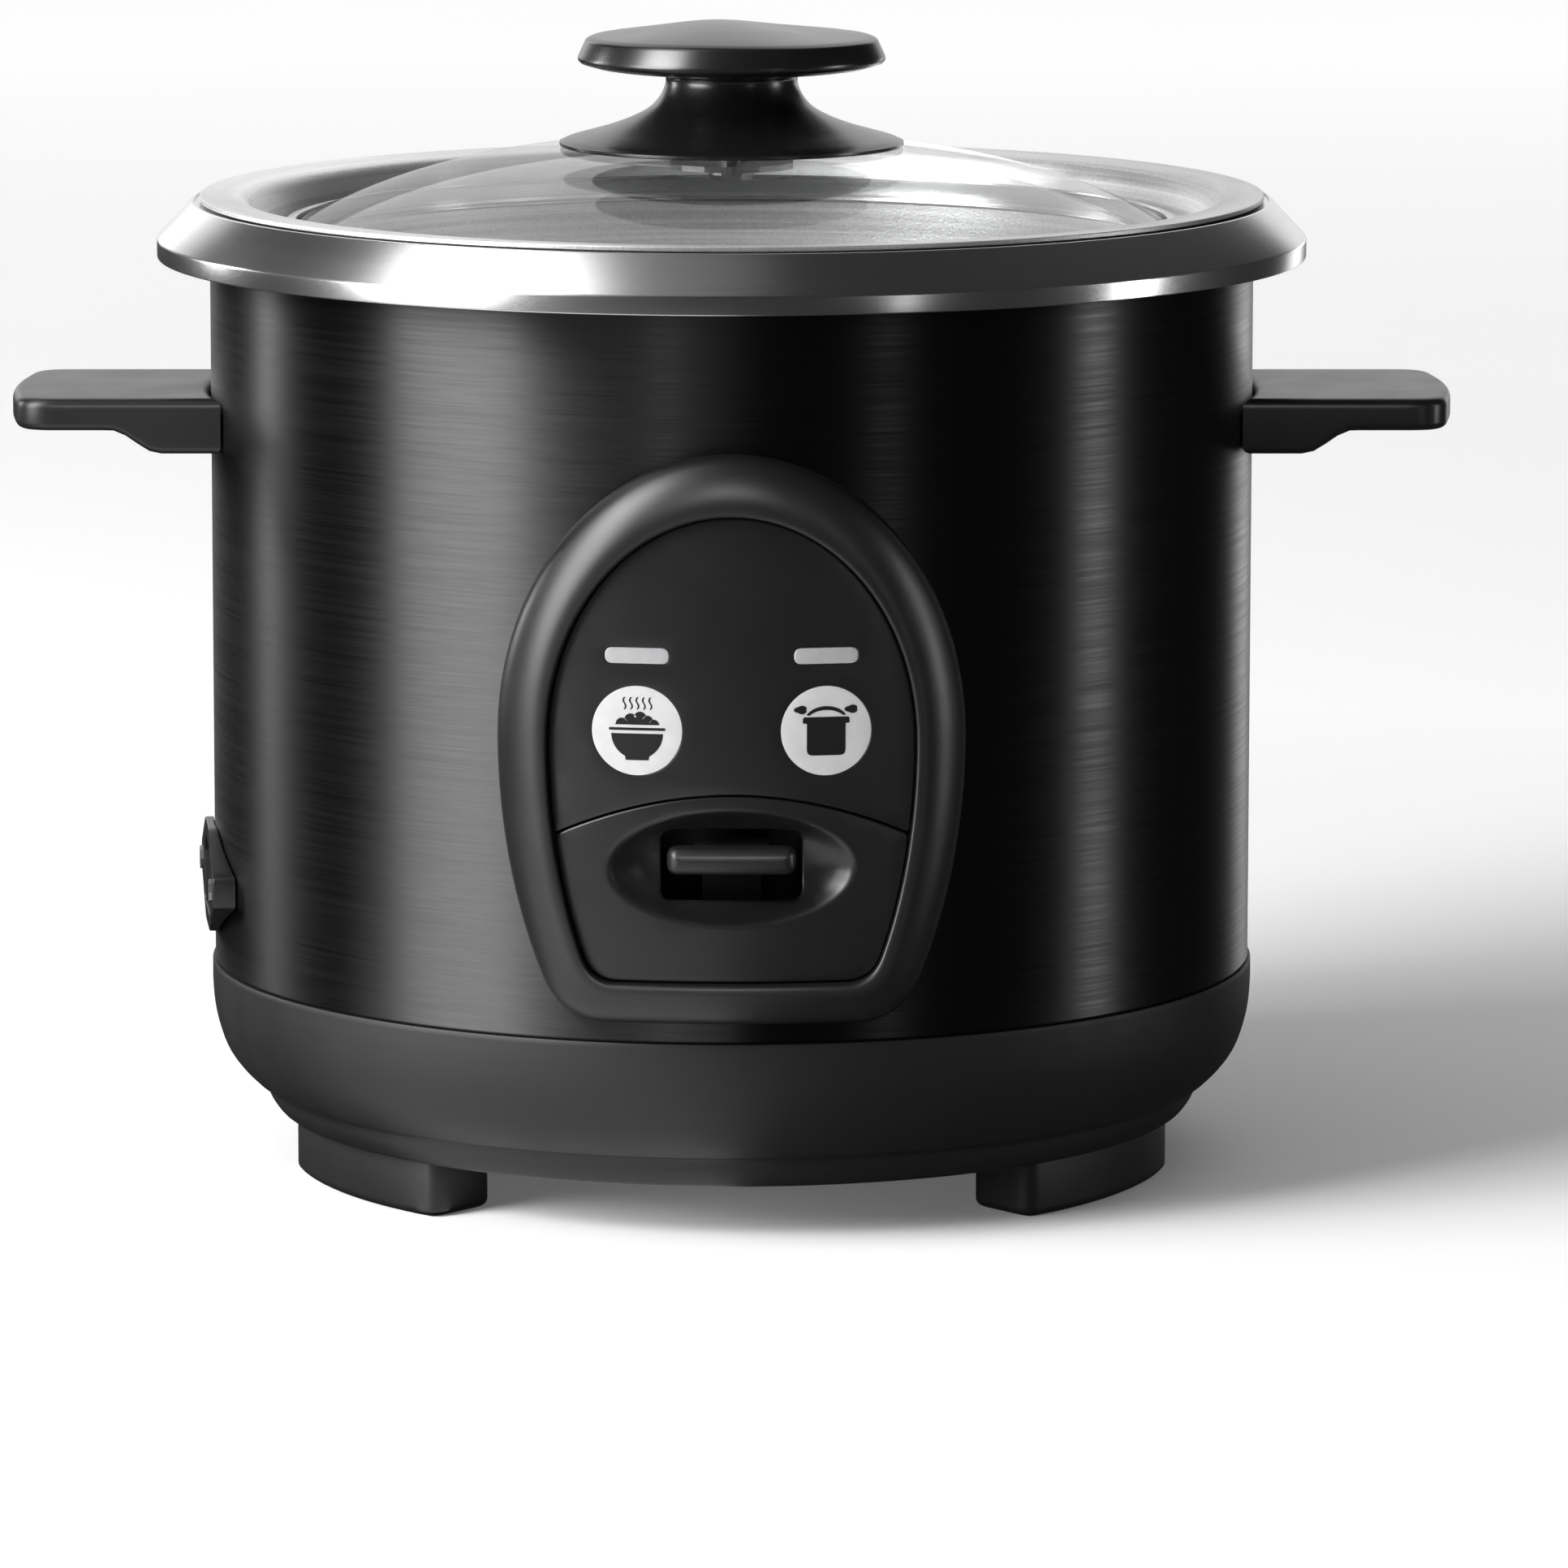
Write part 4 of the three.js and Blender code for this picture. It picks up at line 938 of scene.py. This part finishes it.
def make_inlet():
    """The appliance socket: a flange with two screw ears, and a sleeve with a floor behind it."""
    ear, full, z = 3.2, 11, INLET_Z
    flange = rounded([(-26.6, z - ear, 1), (-8.5, z - full, 1.2), (8.5, z - full, 1.2), (26.6, z - ear, 1),
                      (26.6, z + ear, 1), (8.5, z + full, 1.2), (-8.5, z + full, 1.2), (-26.6, z + ear, 1)],
                     3, closed=True)
    mouth = rounded([(-11.4, z - 7.4, 1.2), (11.4, z - 7.4, 1.2), (11.4, z + 3.4, 1), (7.4, z + 7.4, 1),
                     (-7.4, z + 7.4, 1), (-11.4, z + 3.4, 1)], 3, closed=True)
    bores = [circle(x, z, 2.75, 28) for x in (-21.5, 21.5)]

    def under(u, v):
        return math.sqrt((SHELL_R + 0.3) ** 2 - u * u)

    bm = bmesh.new()
    add_slab(bm, outline=evenly(flange, 2.0), holes=[evenly(mouth, 2.0)] + bores, top=INLET_FACE,
             bottom=under, place=to_inlet, radius=0.35, hole_radius=0.2, spacing=2.4, steps=3)
    wall = [(p[0] * 1.1, z + (p[1] - z) * 1.1) for p in mouth]
    add_slab(bm, outline=evenly(wall, 2.0), holes=[evenly(mouth, 2.0)], top=109.5,
             bottom=94.8, place=to_inlet, radius=0, spacing=4)
    add_slab(bm, outline=evenly(wall, 2.0), top=94.7, bottom=92.8, place=to_inlet, radius=0, spacing=4)
    finish_mesh("inlet_socket", bm, "housing", "black_plastic", ["inlet_housing"])


# ---- seen with the pot out or from below
def make_heating_plate():
    """A cast plate with a hole for the sensor and a groove underneath for the heating element."""
    face = [(17, PLATE_TOP - 0.6, 0.4), (18, PLATE_TOP, 0.6), (PLATE_R - 1, PLATE_TOP, 1.2),
            (PLATE_R, 82, 1), (PLATE_R, 76, 0.8)]
    groove = [(68, 76, 0.8), (68, 70, 0.8), (64.9, 70, 0.2), (64.9, 78, 0.5), (57.1, 78, 0.5),
              (57.1, 70, 0.2), (54, 70, 0.8), (54, 76, 0.8)]
    profile = rounded(face + groove + [(17, 76, 0.4)], closed=True)
    turned("hot_plate", profile, "housing", "cast_aluminium", ["heating_plate"])


def make_spring(node, body, wire, turns):
    """A coil in its CAD node's box, attached to its body with a mesh of its own."""
    low, high = cad(node)
    radius = high[0] - wire
    sides, steps = 10, 28
    count = int(turns * steps)
    bm = bmesh.new()
    rings = []
    for k in range(count + 1):
        angle = 2 * math.pi * k / steps
        z = low[2] + wire + (high[2] - low[2] - 2 * wire) * k / count
        ring = []
        for i in range(sides):
            a = 2 * math.pi * i / sides
            reach = radius + wire * math.cos(a)
            ring.append((reach * math.cos(angle), reach * math.sin(angle), z + wire * math.sin(a)))
        rings.append(new_corners(bm, ring))
    skin(bm, rings)
    bm.faces.new(rings[0])
    bm.faces.new(rings[-1][::-1])
    piece = finish_mesh(f"{node}_coil", bm, body, "steel", [node])
    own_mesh(piece)


def make_springs():
    make_spring("sensor_spring", "thermostat_sensor", 0.6, 3.5)
    make_spring("return_spring", "magnet_lift", 0.5, 3.5)


def make_bottom_plate():
    """The service cover, with a ring of cooling slots."""
    low, high = cad("bottom_plate")
    count = 10
    slots = []
    for k in range(count):
        angle = 2 * math.pi * k / count
        c, s = math.cos(angle), math.sin(angle)
        slot = rounded_box(28, 52, -1.6, 1.6, 1.5, 6)
        slots.append([(u * c - v * s, u * s + v * c) for u, v in slot])
    slab("service_cover", "housing", "steel", ["bottom_plate"], outline=circle(0, 0, 72, 160), holes=slots,
         top=high[2], bottom=low[2], place=flat_z, radius=0.3, low_radius=0.3, spacing=6)


def finish_cad_nodes():
    """The CAD nodes that still show get their slot's material, and the lever's arm a near-black one, painted
    shade for the inside of the lever's slot.
    """
    painted_shade_finishes = {"lever_arm": "steel:lever_painted_shade"}
    for row in frame["record"]["subparts"]:
        node = frame["nodes"][row["node"]]
        finish = painted_shade_finishes.get(row["node"], row["material_slot"])
        for index in range(len(node.material_slots)):
            node.material_slots[index].material = materials[finish]


# ---- stage
def disc_mesh(name, profile, sides=96):
    """An open surface turned round Z from (radius, z) points in metres."""
    bm = bmesh.new()
    skin(bm, [new_corners(bm, level_circle(radius / MM, z / MM, sides)) for radius, z in profile])
    bmesh.ops.remove_doubles(bm, verts=bm.verts, dist=1e-6)
    return to_object(name, bm)


def paper(name, *glows):
    """Pale paper with its own glow: two ramps (from, to, start, end) over the distance from the object."""
    n = Nodes(name)
    colour = n.blend(n.spread(n.noise(3, 2), 0, 1), grey(0.79), grey(0.81))
    place = n.add("ShaderNodeTexCoord").outputs["Object"]
    distance = n.add("ShaderNodeVectorMath", {0: place}, operation="LENGTH").outputs["Value"]
    ramps = [n.spread(distance, *ramp) for ramp in glows]
    glow = n.add("ShaderNodeMath", {0: ramps[0], 1: ramps[1]}, operation="ADD").outputs["Value"]
    inputs = {"Base Color": colour, "Roughness": 0.9,
              "Emission Color": (1, 1, 1, 1), "Emission Strength": glow}
    return n.output(n.add("ShaderNodeBsdfPrincipled", inputs).outputs["BSDF"])


def make_stage():
    """A pale floor with a pale wall far round it. Both stay out of the reflections.

    Returns two collections for lights: one for a light on the stage only, one for a light that leaves it out.
    """
    floor = disc_mesh("studio_floor", [(0, 0), (0.5, 0), (2, 0), (7, 0)])
    floor.data.materials.append(paper("studio_paper", (0.1, 0.33, 0.25, 0.65), (0, 0.34, 0.6, 2.8)))
    wall = disc_mesh("studio_wall", [(7, 0), (7, 5)])
    wall.data.materials.append(paper("studio_wall_paper", (0.5, 0.5, 0, 1), (0.4, 0.42, 0.4, 7)))
    stage_only = bpy.data.collections.new("stage")
    not_stage = bpy.data.collections.new("not_stage")
    bpy.context.scene.collection.children.link(stage_only)
    for piece in (floor, wall):
        piece.visible_glossy = False
        stage_only.objects.link(piece)
        not_stage.objects.link(piece)
    for member in not_stage.collection_objects:
        member.light_linking.link_state = "EXCLUDE"
    wall.visible_diffuse = False
    return stage_only, not_stage


def area_light(name, place, target, size, power, linked=None):
    """A rectangular light. Given a collection, it shines on what that collection lets through."""
    light = bpy.data.lights.new(name, "AREA")
    light.shape = "RECTANGLE"
    light.size, light.size_y = size
    light.energy = power
    lamp = bpy.data.objects.new(name, light)
    lamp.location = place
    direction = Vector(target) - Vector(place)
    lamp.rotation_euler = direction.to_track_quat("-Z", "Y").to_euler()
    bpy.context.scene.collection.objects.link(lamp)
    lamp.visible_camera = False
    lamp.light_linking.receiver_collection = linked


def only_on(name, pieces):
    """A collection for a light that shines on these pieces and nothing else."""
    chosen = bpy.data.collections.new(name)
    for piece in pieces:
        chosen.objects.link(bpy.data.objects[piece])
    return chosen


def around(azimuth, distance, height):
    """A place round the object: azimuth in degrees from the front, positive to the right."""
    a = math.radians(azimuth)
    return (distance * math.sin(a), -distance * math.cos(a), height)


def make_world():
    world = bpy.data.worlds.new("studio")
    world.use_nodes = True
    background = world.node_tree.nodes["Background"].inputs
    background["Color"].default_value = (1, 1, 1, 1)
    background["Strength"].default_value = 0.03
    bpy.context.scene.world = world


def make_lights(stage_only, not_stage):
    """A large soft key from the front left lights everything, and floor_key and floor_wash only the stage.

    front_card lights only the trim, strip_centre only the drum, and the others everything but the stage.
    """
    middle = (0, 0, 0.12)
    rim = (0, 0, 0.2)
    trim = only_on("trim", ["cook_lever_bar", "side_handle_left", "side_handle_right", "panel_egg_bezel"])
    drum = only_on("drum", ["drum_shell"])
    area_light("key_left", around(-61, 1.5, 0.66), middle, (0.88, 1.2), 38)
    area_light("floor_key", around(-52, 1.6, 0.75), middle, (0.7, 0.7), 33, stage_only)
    area_light("key_top", around(-60, 1.42, 1.4), middle, (0.8, 0.55), 14, not_stage)
    area_light("high_left", (-0.69, -0.13, 1.41), rim, (0.8, 0.5), 4, not_stage)
    floor_spot = around(-38, 0.34, 0.001)
    area_light("floor_mirror", floor_spot, (*floor_spot[:2], 1), (0.42, 0.4), 0.5, not_stage)
    area_light("overhead", (-0.25, -0.3, 1.5), middle, (0.7, 0.5), 0.2, not_stage)
    area_light("front_card", around(-3, 1.6, 0.84), middle, (0.6, 0.42), 6.0, trim)
    area_light("strip_far_left", around(-119, 1.3, 0.4), middle, (0.1, 0.5), 3.3, not_stage)
    area_light("strip_back_left", around(-152, 1.3, 0.5), middle, (0.4, 0.5), 0.5, not_stage)
    area_light("edge_right", around(150, 1.4, 0.1), middle, (0.3, 0.5), 0.8, not_stage)
    area_light("strip_centre", around(-14, 2.6, 0.5), middle, (0.14, 1.4), 3.2, drum)
    area_light("strip_right", around(33, 1.8, 0.3), middle, (0.1, 1.0), 0.8, not_stage)
    area_light("side_right", around(84, 1.6, 0.2), middle, (0.16, 0.8), 4.2, not_stage)
    area_light("back_card", (0, 1.9, 1.25), (0, 0, 0.4), (2.2, 2.6), 17, not_stage)
    sun = bpy.data.lights.new("floor_wash", "SUN")
    sun.energy = 1.0
    sun.angle = math.radians(80)
    wash = bpy.data.objects.new("floor_wash", sun)
    bpy.context.scene.collection.objects.link(wash)
    wash.light_linking.receiver_collection = stage_only


def make_camera():
    """The fitted viewpoint: a little above the rim, straight at the front through a long lens."""
    camera = bpy.data.cameras.new("camera")
    camera.sensor_width = 36
    camera.lens = 221.7
    camera.shift_x = 0.0334
    camera.dof.use_dof = False
    pitch = math.radians(9.152)
    eye = bpy.data.objects.new("camera", camera)
    eye.location = (0, -2.0305, 0.4068)
    eye.rotation_euler = (math.pi / 2 - pitch, 0, 0)
    bpy.context.scene.collection.objects.link(eye)
    bpy.context.scene.camera = eye


make_lid()
make_pot()
make_collar()
make_shell()
make_shield()
make_base()
make_feet()
make_handles()
make_panel()
make_lever_button()
make_inlet()
make_heating_plate()
make_bottom_plate()
make_springs()
finish_cad_nodes()
make_world()
make_lights(*make_stage())
make_camera()
bpy.context.scene.view_settings.view_transform = "Standard"
